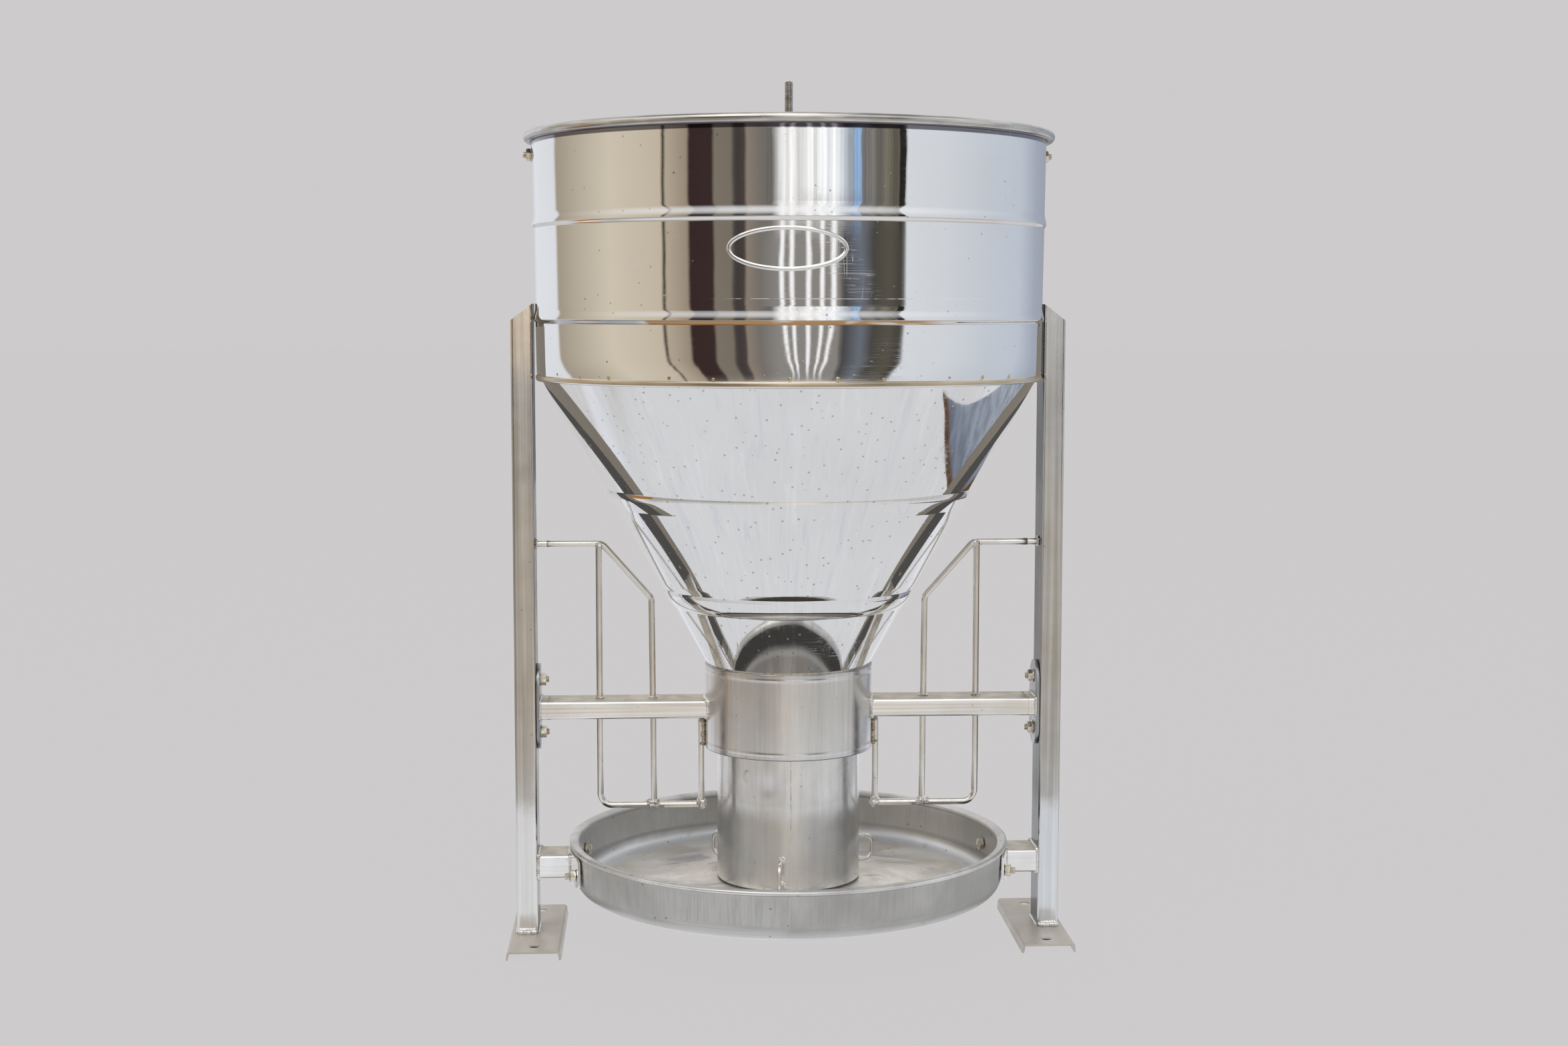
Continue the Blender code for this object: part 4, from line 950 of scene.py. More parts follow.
TUBE_STEEL = satin(
    "satin_steel_tube", (90, 90, 8), rough=(0.20, 0.28), base=(0.76, 0.75, 0.735), patchy=0.4, uneven=0.0,
    # painted reflection: a bluish tint on the right side
    streak=((110, 110, 5.0), 0.95, 1.03), cool=(1.0, 1.015, 1.03, 1),
)
ALUMINIUM = aluminium("tray_aluminium_spun")
ZINC = zinc("zinc_fastener_plated")
STAINLESS_THREAD = zinc("satin_steel_thread", (0.60, 0.59, 0.57))
WELD = weld_metal("frame_steel_weld", dark=0.55)
WELD_CLEAN = weld_metal("frame_steel_weld_clean", (0.90, 0.89, 0.87), 0.12)
CRUST = weld_metal("frame_steel_weld_crust", (0.52, 0.45, 0.36), 0.85)


# ---------------------------------------------------------------- mesh helpers
def piece(name, verts, faces, material, body, replaces=(), sharp=40.0, flat=False):
    mesh = bpy.data.meshes.new(name)
    mesh.from_pydata([tuple(map(float, v)) for v in verts], [], faces)
    mesh.validate()
    shape = bmesh.new()
    shape.from_mesh(mesh)
    bmesh.ops.remove_doubles(shape, verts=shape.verts, dist=1e-7)
    bmesh.ops.recalc_face_normals(shape, faces=shape.faces)
    shape.to_mesh(mesh)
    shape.free()
    if not flat:
        mesh.shade_smooth()
        mesh.set_sharp_from_angle(angle=math.radians(sharp))
    mesh.materials.append(material)
    made = bpy.data.objects.new(name, mesh)
    scene.collection.objects.link(made)
    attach(made, body)
    if replaces:
        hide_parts(*replaces)
    return made


class Build:
    """Vertices and faces gathered from several shapes."""

    def __init__(self):
        self.verts, self.faces = [], []

    def add(self, verts, faces, move=None):
        start = len(self.verts)
        if move is not None:
            verts = [tuple(move @ Vector(v)) for v in verts]
        self.verts += [tuple(v) for v in verts]
        self.faces += [tuple(i + start for i in f) for f in faces]
        return self


def fill_line(points, step):
    """The line with its long stretches cut up, and with support points near each corner."""
    out = []
    for (r0, z0), (r1, z1) in zip(points, points[1:]):
        long = math.hypot(r1 - r0, z1 - z0)
        cuts = [0.0]
        if long > step * 1.5:
            edge = min(0.0006, long * 0.1) / long
            count = max(1, int(long / step))
            cuts += [edge] + [k / count for k in range(1, count)] + [1 - edge]
        for s in sorted(set(round(c, 6) for c in cuts)):
            out.append((r0 + (r1 - r0) * s, z0 + (z1 - z0) * s))
    out.append(points[-1])
    return out


def lathe(profile, sides=256, closed=True, shape=None):
    """A profile of (radius, height) turned about Z; shape(angle, r, z) may move a point."""
    verts, faces = [], []
    count = len(profile)
    rows = []
    for r, z in profile:
        if r < 1e-9:
            rows.append([len(verts)] * sides)
            verts.append((0.0, 0.0, z))
            continue
        row = []
        for k in range(sides):
            a = TAU * k / sides
            rr, zz = (r, z) if shape is None else shape(a, r, z)
            row.append(len(verts))
            verts.append((rr * math.cos(a), rr * math.sin(a), zz))
        rows.append(row)
    pairs = list(zip(rows, rows[1:])) + ([(rows[-1], rows[0])] if closed else [])
    for low, high in pairs:
        for k in range(sides):
            n = (k + 1) % sides
            quad = [low[k], low[n], high[n], high[k]]
            quad = [v for i, v in enumerate(quad) if v not in quad[:i]]
            if len(quad) > 2:
                faces.append(tuple(quad))
    return verts, faces


def offset_line(points, distance):
    moved = []
    for i, point in enumerate(points):
        normals = []
        for a, b in ((i - 1, i), (i, i + 1)):
            if a >= 0 and b < len(points):
                dr, dz = points[b][0] - points[a][0], points[b][1] - points[a][1]
                long = math.hypot(dr, dz)
                if long > 1e-12:
                    normals.append((-dz / long, dr / long))
        mean = (sum(n[0] for n in normals), sum(n[1] for n in normals))
        size = math.hypot(*mean)
        mean = (mean[0] / size, mean[1] / size)
        reach = distance / max(0.5, mean[0] * normals[0][0] + mean[1] * normals[0][1])
        moved.append((point[0] - mean[0] * reach, point[1] - mean[1] * reach))
    return moved


def arc(centre, radius, start, stop, steps):
    out = []
    for i in range(steps + 1):
        a = math.radians(start + (stop - start) * i / steps)
        out.append((centre[0] + radius * math.cos(a), centre[1] + radius * math.sin(a)))
    return out


def bent(points, radius, steps=10):
    vectors = [Vector(p) for p in points]
    path = [vectors[0]]
    for before, corner, after in zip(vectors, vectors[1:], vectors[2:]):
        into, out = (before - corner).normalized(), (after - corner).normalized()
        half = into.angle(out) / 2
        reach = radius / math.tan(half)
        centre = corner + (into + out).normalized() * radius / math.sin(half)
        start = (corner + into * reach - centre).normalized()
        stop = (corner + out * reach - centre).normalized()
        for i in range(steps + 1):
            path.append(centre + start.slerp(stop, i / steps) * radius)
    path.append(vectors[-1])
    return path


def resample(points, step, closed=False):
    vectors = [Vector(p) for p in points]
    if closed:
        vectors.append(vectors[0])
    lengths = [0.0]
    for a, b in zip(vectors, vectors[1:]):
        lengths.append(lengths[-1] + (b - a).length)
    total = lengths[-1]
    count = max(2, int(round(total / step)))
    out, i = [], 0
    for k in range(count if closed else count + 1):
        s = total * k / count
        while i < len(lengths) - 2 and lengths[i + 1] < s:
            i += 1
        part = lengths[i + 1] - lengths[i]
        f = 0.0 if part < 1e-12 else (s - lengths[i]) / part
        out.append(vectors[i].lerp(vectors[i + 1], f))
    return out


def sweep(points, radius, sides=20, closed=False, seed_axis=None):
    """A tube along points; radius is a number or one for each point."""
    vectors = [Vector(p) for p in points]
    count = len(vectors)
    radii = radius if isinstance(radius, (list, tuple)) else [radius] * count
    tangents = []
    for i in range(count):
        a = vectors[(i - 1) % count] if (closed or i > 0) else vectors[i]
        b = vectors[(i + 1) % count] if (closed or i < count - 1) else vectors[i]
        tangents.append((b - a).normalized())
    axis = Vector(seed_axis) if seed_axis else Vector((0, 0, 1))
    if abs(tangents[0].dot(axis)) > 0.95:
        axis = Vector((0, 1, 0))
    normal = (axis - tangents[0] * axis.dot(tangents[0])).normalized()
    verts, faces = [], []
    for i in range(count):
        tangent = tangents[i]
        normal = (normal - tangent * normal.dot(tangent)).normalized()
        side = tangent.cross(normal)
        for k in range(sides):
            a = TAU * k / sides
            verts.append(tuple(vectors[i] + (normal * math.cos(a) + side * math.sin(a)) * radii[i]))
    last = count if closed else count - 1
    for i in range(last):
        a, b = i * sides, ((i + 1) % count) * sides
        for k in range(sides):
            n = (k + 1) % sides
            faces.append((a + k, a + n, b + n, b + k))
    if not closed:
        faces.append(tuple(range(sides))[::-1])
        faces.append(tuple((count - 1) * sides + k for k in range(sides)))
    return verts, faces


def rounded_bar(points, radius, sides=24):
    """A round bar with slightly eased ends."""
    vectors = [Vector(p) for p in points]
    ease = radius * 0.12
    first = (vectors[1] - vectors[0]).normalized()
    last = (vectors[-2] - vectors[-1]).normalized()
    path = [vectors[0], vectors[0] + first * ease] + vectors[1:-1] + [vectors[-1] + last * ease, vectors[-1]]
    radii = [radius - ease] + [radius] * (len(path) - 2) + [radius - ease]
    return sweep(path, radii, sides)


def bead(points, radius, seed, closed=False, ripple=0.0018, sides=10):
    """A weld bead: overlapping ripples along a line, with a lumpy outline."""
    path = resample(points, 0.0006, closed)
    radii, moved = [], []
    for i, p in enumerate(path):
        s = i * 0.0006
        scale = abs(math.sin(math.pi * s / ripple + seed))
        lump = noise.noise(Vector((p.x * 150 + seed, p.y * 150, p.z * 150)))
        fine = noise.noise(Vector((p.x * 520, p.y * 520 + seed, p.z * 520)))
        radii.append(radius * (0.82 + 0.16 * scale + 0.26 * lump + 0.12 * fine))
        shift = Vector((noise.noise(p * 190 + Vector((seed, 0, 0))), noise.noise(p * 190 + Vector((0, seed, 9))), noise.noise(p * 190 + Vector((4, 0, seed)))))
        moved.append(p + shift * radius * 0.22)
    if not closed:
        for k, f in enumerate((0.35, 0.65, 0.85)):
            if len(radii) > 8:
                radii[k] *= f
                radii[-1 - k] *= f
    return sweep(moved, radii, sides, closed)


def blob(centre, radii, seed, detail=3, lump=0.28):
    """A lump of weld metal."""
    shape = bmesh.new()
    bmesh.ops.create_icosphere(shape, subdivisions=detail, radius=1.0)
    verts, faces = [], []
    for v in shape.verts:
        n = noise.noise(v.co * 1.7 + Vector((seed * 3.1, seed, 0))) * lump
        n += noise.noise(v.co * 4.5 + Vector((seed, 5.0, seed))) * lump * 0.5
        q = v.co * (1.0 + n)
        verts.append((centre[0] + q.x * radii[0], centre[1] + q.y * radii[1], centre[2] + q.z * radii[2]))
    for f in shape.faces:
        faces.append(tuple(v.index for v in f.verts))
    shape.free()
    return verts, faces


def place_x(x, z, across, y=0.0, turn=None):
    """Stands a shape made along Z at (x, y, z), pointing along +X or -X."""
    spin = Matrix.Rotation(math.pi / 2, 4, "Y")
    half = Matrix.Rotation(0.0 if across > 0 else math.pi, 4, "Z")
    return Matrix.Translation((x, y, z)) @ half @ spin


def place_radial(angle, radius, z, outwards=True):
    spin = Matrix.Rotation(math.pi / 2, 4, "Y")
    if not outwards:
        spin = Matrix.Rotation(-math.pi / 2, 4, "Y")
    return Matrix.Rotation(angle, 4, "Z") @ Matrix.Translation((radius, 0, z)) @ spin


def hex_nut(across, high, bore, turn=0.0, both=True, flange=None):
    """A chamfered hexagon along Z from 0, with a countersunk threaded bore."""
    sides = 96
    flat = across / 2
    inner = flat * 0.955
    rows = []
    base = 0.0 if flange is None else flange[1]
    for k in range(sides):
        a = TAU * k / sides
        local = ((a - turn + math.pi / 6) % (math.pi / 3)) - math.pi / 6
        rows.append(flat / math.cos(local))
    rings = []

    def ring(radius_of, z_of):
        rings.append([(radius_of(k) * math.cos(TAU * k / sides), radius_of(k) * math.sin(TAU * k / sides), z_of(k)) for k in range(sides)])

    fall = math.tan(math.radians(28))
    count = max(3, int(high / 0.0004))
    ring(lambda k: bore * 1.10, lambda k: 0.0)
    if flange is not None:
        ring(lambda k: flange[0], lambda k: 0.0)
        ring(lambda k: flange[0], lambda k: flange[1] * 0.7)
        ring(lambda k: flange[0] * 0.97, lambda k: flange[1])
    elif both:
        ring(lambda k: inner, lambda k: 0.0)
    ring(lambda k: rows[k], lambda k: base + (max(0.0, (rows[k] - inner)) * fall if both and flange is None else 0.0))
    ring(lambda k: rows[k], lambda k: high - max(0.0, rows[k] - inner) * fall)
    ring(lambda k: inner, lambda k: high)
    ring(lambda k: bore * 1.12, lambda k: high)
    ring(lambda k: bore, lambda k: high - bore * 0.12)
    for j in range(1, count):
        z = high - bore * 0.12 - (high - bore * 0.24) * j / count
        wide = bore * (1.0 + (0.05 if j % 2 else 0.0))
        ring(lambda k, w=wide: w, lambda k, z=z: z)
    ring(lambda k: bore, lambda k: bore * 0.12)
    verts, faces = [], []
    for r in rings:
        verts += r
    total = len(rings)
    for i in range(total):
        a, b = i * sides, ((i + 1) % total) * sides
        for k in range(sides):
            n = (k + 1) % sides
            faces.append((a + k, a + n, b + n, b + k))
    return verts, faces


def hex_head(across, high):
    """A bolt head along Z from 0, chamfered on its far face, slightly dished."""
    sides = 96
    flat = across / 2
    inner = flat * 0.95
    fall = math.tan(math.radians(28))
    rows = []
    for k in range(sides):
        a = TAU * k / sides
        local = ((a + math.pi / 6) % (math.pi / 3)) - math.pi / 6
        rows.append(flat / math.cos(local))
    rings = [
        [(rows[k], 0.0) for k in range(sides)],
        [(rows[k], high - max(0.0, rows[k] - inner) * fall) for k in range(sides)],
        [(inner, high) for k in range(sides)],
        [(inner * 0.82, high) for k in range(sides)],
        [(inner * 0.76, high - 0.00025) for k in range(sides)],
    ]
    verts, faces = [], []
    for r in rings:
        verts += [(rad * math.cos(TAU * k / sides), rad * math.sin(TAU * k / sides), z) for k, (rad, z) in enumerate(r)]
    for i in range(len(rings) - 1):
        a, b = i * sides, (i + 1) * sides
        for k in range(sides):
            n = (k + 1) % sides
            faces.append((a + k, a + n, b + n, b + k))
    faces.append(tuple(range(sides))[::-1])
    faces.append(tuple((len(rings) - 1) * sides + k for k in range(sides)))
    return verts, faces


def thread(radius, pitch, low, high, sides=20, depth=None):
    """A helical thread along Z between two heights, with chamfered plugs at both ends."""
    depth = pitch * 0.54 if depth is None else depth
    root = radius - depth
    turns = (high - low) / pitch
    count = int(turns * sides)
    verts, faces = [], []
    shape = ((root, 0.0), (root, 0.10), (radius, 0.46), (radius, 0.58))
    for i in range(count + 1):
        a = TAU * i / sides
        z = low + pitch * i / sides
        fade = min(1.0, i / sides, (count - i) / sides)
        for r, s in shape:
            rr = root + (r - root) * max(0.0, fade)
            verts.append((rr * math.cos(a), rr * math.sin(a), min(high, max(low, z + (s - 0.5) * pitch))))
    per = len(shape)
    for i in range(count):
        a, b = i * per, (i + 1) * per
        for j in range(per - 1):
            faces.append((a + j, b + j, b + j + 1, a + j + 1))
        if i + sides + 1 <= count:
            c, d = (i + sides) * per, (i + sides + 1) * per
            faces.append((a + per - 1, b + per - 1, d, c))
    # closed caps: a core that the thread stands on
    core, skin = lathe([(0.0, low), (root * 0.86, low), (root + 0.00005, low + root * 0.14), (root + 0.00005, high - root * 0.2), (root * 0.80, high), (0.0, high)], sides=32, closed=False)
    start = len(verts)
    verts += core
    faces += [tuple(v + start for v in f) for f in skin]
    return verts, faces


def section(wide, deep, corner, steps=5):
    """A rounded rectangle, with points along its flats."""
    points = []
    x, y = wide / 2 - corner, deep / 2 - corner
    for cx, cy, start in ((x, y, 0), (-x, y, 90), (-x, -y, 180), (x, -y, 270)):
        points += arc((cx, cy), corner, start, start + 90, steps)
    out = []
    for (x0, y0), (x1, y1) in zip(points, points[1:] + points[:1]):
        long = math.hypot(x1 - x0, y1 - y0)
        count = max(1, int(long / 0.0035)) if long > 0.004 else 1
        cuts = [0.0] if count == 1 else [0.0, 0.0004 / long] + [k / count for k in range(1, count)] + [1 - 0.0004 / long]
        out += [(x0 + (x1 - x0) * s, y0 + (y1 - y0) * s) for s in cuts]
    return out


def box_tube(wide, deep, corner, wall, low, high, step=0.006, crown=0.0):
    """A rectangular tube along Z. low and high give its ends at a point of the section."""
    outer = section(wide, deep, corner)
    inner = [
        (x * (1 - 2 * wall / wide), y * (1 - 2 * wall / deep)) for x, y in outer
    ]
    verts, faces = [], []
    middle_long = high(0, 0) - low(0, 0)
    rings = max(2, int(middle_long / step))
    count = len(outer)
    ends = 0.0007
    levels = [0.0, ends / middle_long] + [k / rings for k in range(1, rings)] + [1 - ends / middle_long, 1.0]
    for loop, kind in ((outer, 0), (inner, 1)):
        for s in levels:
            for x, y in loop:
                a, b = low(x, y), high(x, y)
                z = a + (b - a) * s
                k = 1.0
                if crown and kind == 0:
                    bulge = crown * (noise.noise(Vector((x * 30, y * 30, z * 9))) )
                    size = math.hypot(x, y)
                    k = 1.0 + bulge / size
                verts.append((x * k, y * k, z))
    per = len(levels)
    for shell in (0, 1):
        base = shell * per * count
        for i in range(per - 1):
            a, b = base + i * count, base + (i + 1) * count
            for k in range(count):
                n = (k + 1) % count
                faces.append((a + k, a + n, b + n, b + k) if shell == 0 else (a + k, b + k, b + n, a + n))
    for i in (0, per - 1):
        a, b = i * count, per * count + i * count
        for k in range(count):
            n = (k + 1) % count
            faces.append((a + k, b + k, b + n, a + n) if i == 0 else (a + k, a + n, b + n, b + k))
    return verts, faces


def flat_outline(loops, thick, ease=0.0004):
    """A flat sheet outline with holes, its edges eased, centred on its plane."""
    curve = bpy.data.curves.new("outline", "CURVE")
    curve.dimensions = "2D"
    curve.fill_mode = "BOTH"
    curve.extrude = thick / 2 - ease
    curve.bevel_depth = ease
    curve.bevel_resolution = 2
    curve.offset = -ease
    for loop in loops:
        spline = curve.splines.new("POLY")
        spline.points.add(len(loop) - 1)
        for point, (x, y) in zip(spline.points, loop):
            point.co = (x, y, 0.0, 1.0)
        spline.use_cyclic_u = True
    holder = bpy.data.objects.new("outline", curve)
    scene.collection.objects.link(holder)
    bpy.context.view_layer.update()
    graph = bpy.context.evaluated_depsgraph_get()
    mesh = bpy.data.meshes.new_from_object(holder.evaluated_get(graph))
    verts = [tuple(v.co) for v in mesh.vertices]
    faces = [tuple(p.vertices) for p in mesh.polygons]
    bpy.data.objects.remove(holder, do_unlink=True)
    bpy.data.curves.remove(curve)
    bpy.data.meshes.remove(mesh)
    return verts, faces


def circle(radius, sides, centre=(0.0, 0.0)):
    return [(centre[0] + radius * math.cos(TAU * k / sides), centre[1] + radius * math.sin(TAU * k / sides)) for k in range(sides)]


def turn_z(angle):
    return Matrix.Rotation(angle, 4, "Z")


# ---------------------------------------------------------------- hopper
DRUM_TOP_R, DRUM_LOW_R, DRUM_TOP_Z, DRUM_LOW_Z = 0.3005, 0.2972, 0.9400, 0.6725
RIM_R, RIM_Z, RIM_WIRE = 0.3050, 0.9540, 0.0055


def drum_r(z):
    share = min(1.0, max(0.0, (DRUM_TOP_Z - z) / (DRUM_TOP_Z - DRUM_LOW_Z)))
    r = DRUM_TOP_R + (DRUM_LOW_R - DRUM_TOP_R) * share
    return r


def bead_rise(s):
    """Height of the swage over its width, from its soft upper edge to its tight lower edge."""
    if s < 0.74:
        q = s / 0.74
        return q * q * (3 - 2 * q)
    q = (s - 0.74) / 0.26
    return 1 - q * q * (3 - 2 * q)


def drum_profile():
    outer = arc((RIM_R, RIM_Z), RIM_WIRE, 186, -138, 26)
    line = []
    z = 0.9440
    marks = [0.9440]
    while z > DRUM_LOW_Z + 0.0070:
        inside = None
        for top, low in ((0.8660, 0.8484), (0.7570, 0.7395)):
            if low - 0.0004 < z <= top + 0.0004:
                inside = (top, low)
        z -= 0.0005 if inside else 0.0030
        marks.append(z)
    marks[-1] = DRUM_LOW_Z + 0.0070
    for z in marks:
        out = 0.0
        for top, low in ((0.8660, 0.8484), (0.7570, 0.7395)):
            if low < z < top:
                out = 0.0022 * bead_rise((top - z) / (top - low))
        # the wall leans in a little more just over the hem, and flares under the rim
        lean = -0.00045 * max(0.0, (0.700 - z) / 0.0275) ** 2 if z < 0.700 else 0.0
        line.append((drum_r(z) + out + lean, z))
    hem_top = DRUM_LOW_Z + 0.0067
    r = drum_r(hem_top)
    hem = [
        (r + 0.0002, hem_top),
        (r + 0.0008, hem_top - 0.0006),
        (r + 0.0011, hem_top - 0.0014),
        (r + 0.0012, hem_top - 0.0036),
        (r + 0.0011, DRUM_LOW_Z + 0.0020),
        (r + 0.0007, DRUM_LOW_Z + 0.0013),
        (r + 0.0001, DRUM_LOW_Z + 0.0005),
        (r - 0.0005, DRUM_LOW_Z),
        (r - 0.0010, DRUM_LOW_Z),
    ]
    inner = [(q[0] - 0.0010, q[1]) for q in line[::-1][::2]]
    return outer + line + hem + inner


def drum_wave(a, r, z):
    """The rolled sheet isn't quite round or flat."""
    fade = min(1.0, max(0.0, (0.948 - z) / 0.02))
    p = Vector((math.cos(a) * 1.3, math.sin(a) * 1.3, z * 5.0))
    d = noise.noise(p * 2.0) * 0.00016 + noise.noise(p * 5.5 + Vector((7, 0, 0))) * 0.00003
    if z < 0.9395:
        r = r + d * fade
    return r, z


def make_drum():
    verts, faces = lathe(drum_profile(), sides=384, shape=drum_wave)
    piece("drum_wall", verts, faces, DRUM_STEEL, FRAME, ("hopper_cylinder",), sharp=50)

    # a bare oval frame pressed out of the wall
    ring = []
    cx, cz, ax, az = -0.0177, 0.8193, 0.0642, 0.0242
    for k in range(160):
        a = TAU * k / 160
        x, z = cx + (ax - 0.0027) * math.cos(a), cz + (az - 0.0027) * math.sin(a)
        r = drum_r(z) - 0.0017
        ring.append((x, -math.sqrt(r * r - x * x), z))
    verts, faces = sweep(ring, 0.0029, 20, closed=True, seed_axis=(0, 1, 0))
    piece("oval_frame", verts, faces, DRUM_STEEL, FRAME)

    # spot welds over the hem
    dots = Build()
    for k in range(30):
        a = TAU * (k + 0.5 * (0.5 - (k * 37 % 11) / 11)) / 30
        z = 0.6822 + 0.0006 * math.sin(k * 2.3)
        r = drum_r(z)
        flat = 0.0021 + 0.0004 * math.sin(k * 1.7)
        v, f = blob((0, 0, 0), (0.0005, flat, flat), k, detail=2, lump=0.12)
        dots.add(v, f, turn_z(a) @ Matrix.Translation((r - 0.00015, 0, z)))
    piece("hem_spot_welds", dots.verts, dots.faces, SPOT, FRAME)


SPOT = weld_metal("polished_steel_spot_weld", (0.62, 0.50, 0.32), 0.6)

CONE_R, CONE_Z, CONE_SLOPE = 0.2943, 0.6780, 0.5744


def cone_r(z):
    return CONE_R + CONE_SLOPE * (z - CONE_Z)


def round_bead(s, dipped):
    """A swage with a tight upper crease: round, with a dip over it, or falling off softly."""
    if s < 0.0:
        if not dipped or s < -0.42:
            return 0.0
        return -0.22 * ((0.42 + s) / 0.37) ** 1.25 if s < -0.05 else -0.22 * (-s / 0.05)
    if dipped:
        crest = 4.0 * s * (1.0 - s)
        ease = min(1.0, s / 0.07, (1.0 - s) / 0.07)
        return crest * (0.55 + 0.45 * ease)
    if s < 0.34:
        return 1.0 - ((0.34 - s) / 0.34) ** 2
    return 1.0 - ((s - 0.34) / 0.66) ** 1.3


def cone_profile():
    tilt = math.hypot(1.0, CONE_SLOPE)
    nr, nz = 1.0 / tilt, -CONE_SLOPE / tilt
    flange_z = CONE_Z + (0.2959 - CONE_R) / CONE_SLOPE
    line = [(0.2959, 0.7000), (0.2959, 0.6950), (0.2959, 0.6900), (0.2959, flange_z + 0.0015)]
    z = flange_z - 0.0010
    spout_z = CONE_Z + (0.0795 - CONE_R) / CONE_SLOPE
    while z > spout_z + 0.001:
        out = 0.0
        near = False
        for top, low, height, dipped in ((0.5460, 0.5240, 0.0018, False), (0.4250, 0.4040, 0.0023, True)):
            wide = top - low
            if low - 0.001 < z < top + 0.42 * wide + 0.001:
                near = True
            if low < z < top + 0.42 * wide:
                out = height * round_bead((top - z) / wide, dipped)
        if z < 0.4030:
            # a little steeper from the lower bead down to the collar
            out += 0.0134 * (0.4030 - z) if z > 0.3300 else 0.00098 * max(0.0, (z - 0.3100) / 0.0200)
        line.append((cone_r(z) + nr * out, z + nz * out))
        z -= 0.0005 if near else 0.0034
    line += [(0.0795 + 0.0004, spout_z + 0.0007), (0.0795, spout_z - 0.0010)]
    line += [(0.0795, 0.300), (0.0795, 0.280), (0.0795, 0.2620)]
    return line


def cone_wave(a, r, z):
    p = Vector((math.cos(a) * 1.2, math.sin(a) * 1.2, z * 3.0))
    d = noise.noise(p * 1.7 + Vector((0, 3, 0))) * 0.0006 + noise.noise(p * 5.0) * 0.00016
    if 0.32 < z < 0.668:
        fade = min(1.0, (0.668 - z) / 0.03, (z - 0.32) / 0.03)
        r = r + d * fade
    return r, z


def make_cone():
    line = cone_profile()
    loop = line + offset_line(line, 0.0010)[::-1]
    verts, faces = lathe(loop, sides=320, shape=cone_wave)
    piece("cone_wall", verts, faces, CONE_STEEL, FRAME, ("hopper_cone",), sharp=50)


make_drum()
make_cone()


# ---------------------------------------------------------------- cross bar, side bolts, rod
def make_cross_bar():
    half, top, thick, low, bend = 0.2979, 0.9502, 0.0040, 0.9210, 0.0050
    loop = [(-half, low), (-half + thick, low)]
    loop += arc((-half + thick + 0.0012, top - thick - 0.0012), 0.0012, 180, 90, 4)
    loop += arc((half - thick - 0.0012, top - thick - 0.0012), 0.0012, 90, 0, 4)
    loop += [(half - thick, low), (half, low)]
    loop += arc((half - bend, top - bend), bend, 0, 90, 8)
    loop += arc((-half + bend, top - bend), bend, 90, 180, 8)
    verts, faces = flat_outline([loop], 0.030, 0.0005)
    turn = Matrix.Rotation(math.pi / 2, 4, "X")
    verts = [tuple(turn @ Vector(v)) for v in verts]
    piece("cross_bar_flat", verts, faces, BEAM_STEEL, FRAME, ("cross_bar",))


def washer_ring(outer, inner, thick, ease=0.00015):
    return lathe(
        [
            (inner, ease), (inner + ease, 0.0), (outer - ease, 0.0), (outer, ease),
            (outer, thick - ease), (outer - ease, thick), (inner + ease, thick), (inner, thick - ease),
        ],
        sides=72,
    )


def make_side_bolts():
    for side, across in SIDES:
        face = 0.2979 - 0.0040 - 0.0003
        b = Build()
        b.add(*hex_head(0.0130, 0.0053), move=place_x(across * face, 0.9350, -across))
        b.add(*thread(0.0040, 0.00125, 0.0, 0.3113 - face), move=place_x(across * face, 0.9350, across))
        piece("side_bolt_thread_" + side, b.verts, b.faces, ZINC, FRAME, ("side_bolt_" + side,))
        v, f = washer_ring(0.0090, 0.0043, 0.0010)
        b = Build().add(v, f, place_x(across * 0.3008, 0.9350, across))
        piece("side_washer_ring_" + side, b.verts, b.faces, ZINC, FRAME, ("side_washer_" + side,))
        v, f = hex_nut(0.0130, 0.0052, 0.0043, turn=0.25 if side == "left" else -0.1)
        b = Build().add(v, f, place_x(across * 0.3021, 0.9350, across))
        piece("side_nut_hex_" + side, b.verts, b.faces, ZINC, FRAME, ("side_nut_" + side,))


def make_rod():
    verts, faces = thread(0.0050, 0.0015, 0.1840, 1.0213, sides=18)
    piece("rod_thread", verts, faces, STAINLESS_THREAD, TUBE, ("threaded_rod",))
    v, f = washer_ring(0.0125, 0.0053, 0.0020, 0.0003)
    b = Build().add(v, f, Matrix.Translation((0, 0, 0.9505)))
    piece("rod_washer_ring", b.verts, b.faces, ZINC, NUTS, ("rod_washer",))
    v, f = hex_nut(0.0170, 0.0080, 0.0053, turn=0.2)
    b = Build().add(v, f, Matrix.Translation((0, 0, 0.9528)))
    piece("adjusting_nut_hex", b.verts, b.faces, ZINC, NUTS, ("adjusting_nut",))
    v, f = hex_nut(0.0170, 0.0050, 0.0053, turn=0.45)
    b = Build().add(v, f, Matrix.Translation((0, 0, 0.9611)))
    piece("jam_nut_hex", b.verts, b.faces, ZINC, NUTS, ("jam_nut",))
    for name, z, half, azimuth in (("upper", 0.560, 0.100, 0.0), ("middle", 0.470, 0.080, 60.0), ("lower", 0.380, 0.055, 120.0)):
        a = math.radians(azimuth)
        away = 0.0093
        move = Matrix.Translation((-math.sin(a) * away, math.cos(a) * away, z)) @ turn_z(a)
        v, f = rounded_bar([(-half, 0, 0), (-half / 3, 0, 0), (half / 3, 0, 0), (half, 0, 0)], 0.0040)
        b = Build().add(v, f, move)
        for k in (-1, 1):
            v, f = blob((k * 0.0032, -0.0036, 0.0), (0.0024, 0.0016, 0.0034), 7 + k + azimuth, detail=3)
            b.add(v, f, move)
        piece("agitator_round_bar_" + name, b.verts, b.faces, BAR_STEEL, TUBE, ("agitator_bar_" + name,))


make_cross_bar()
make_side_bolts()
make_rod()


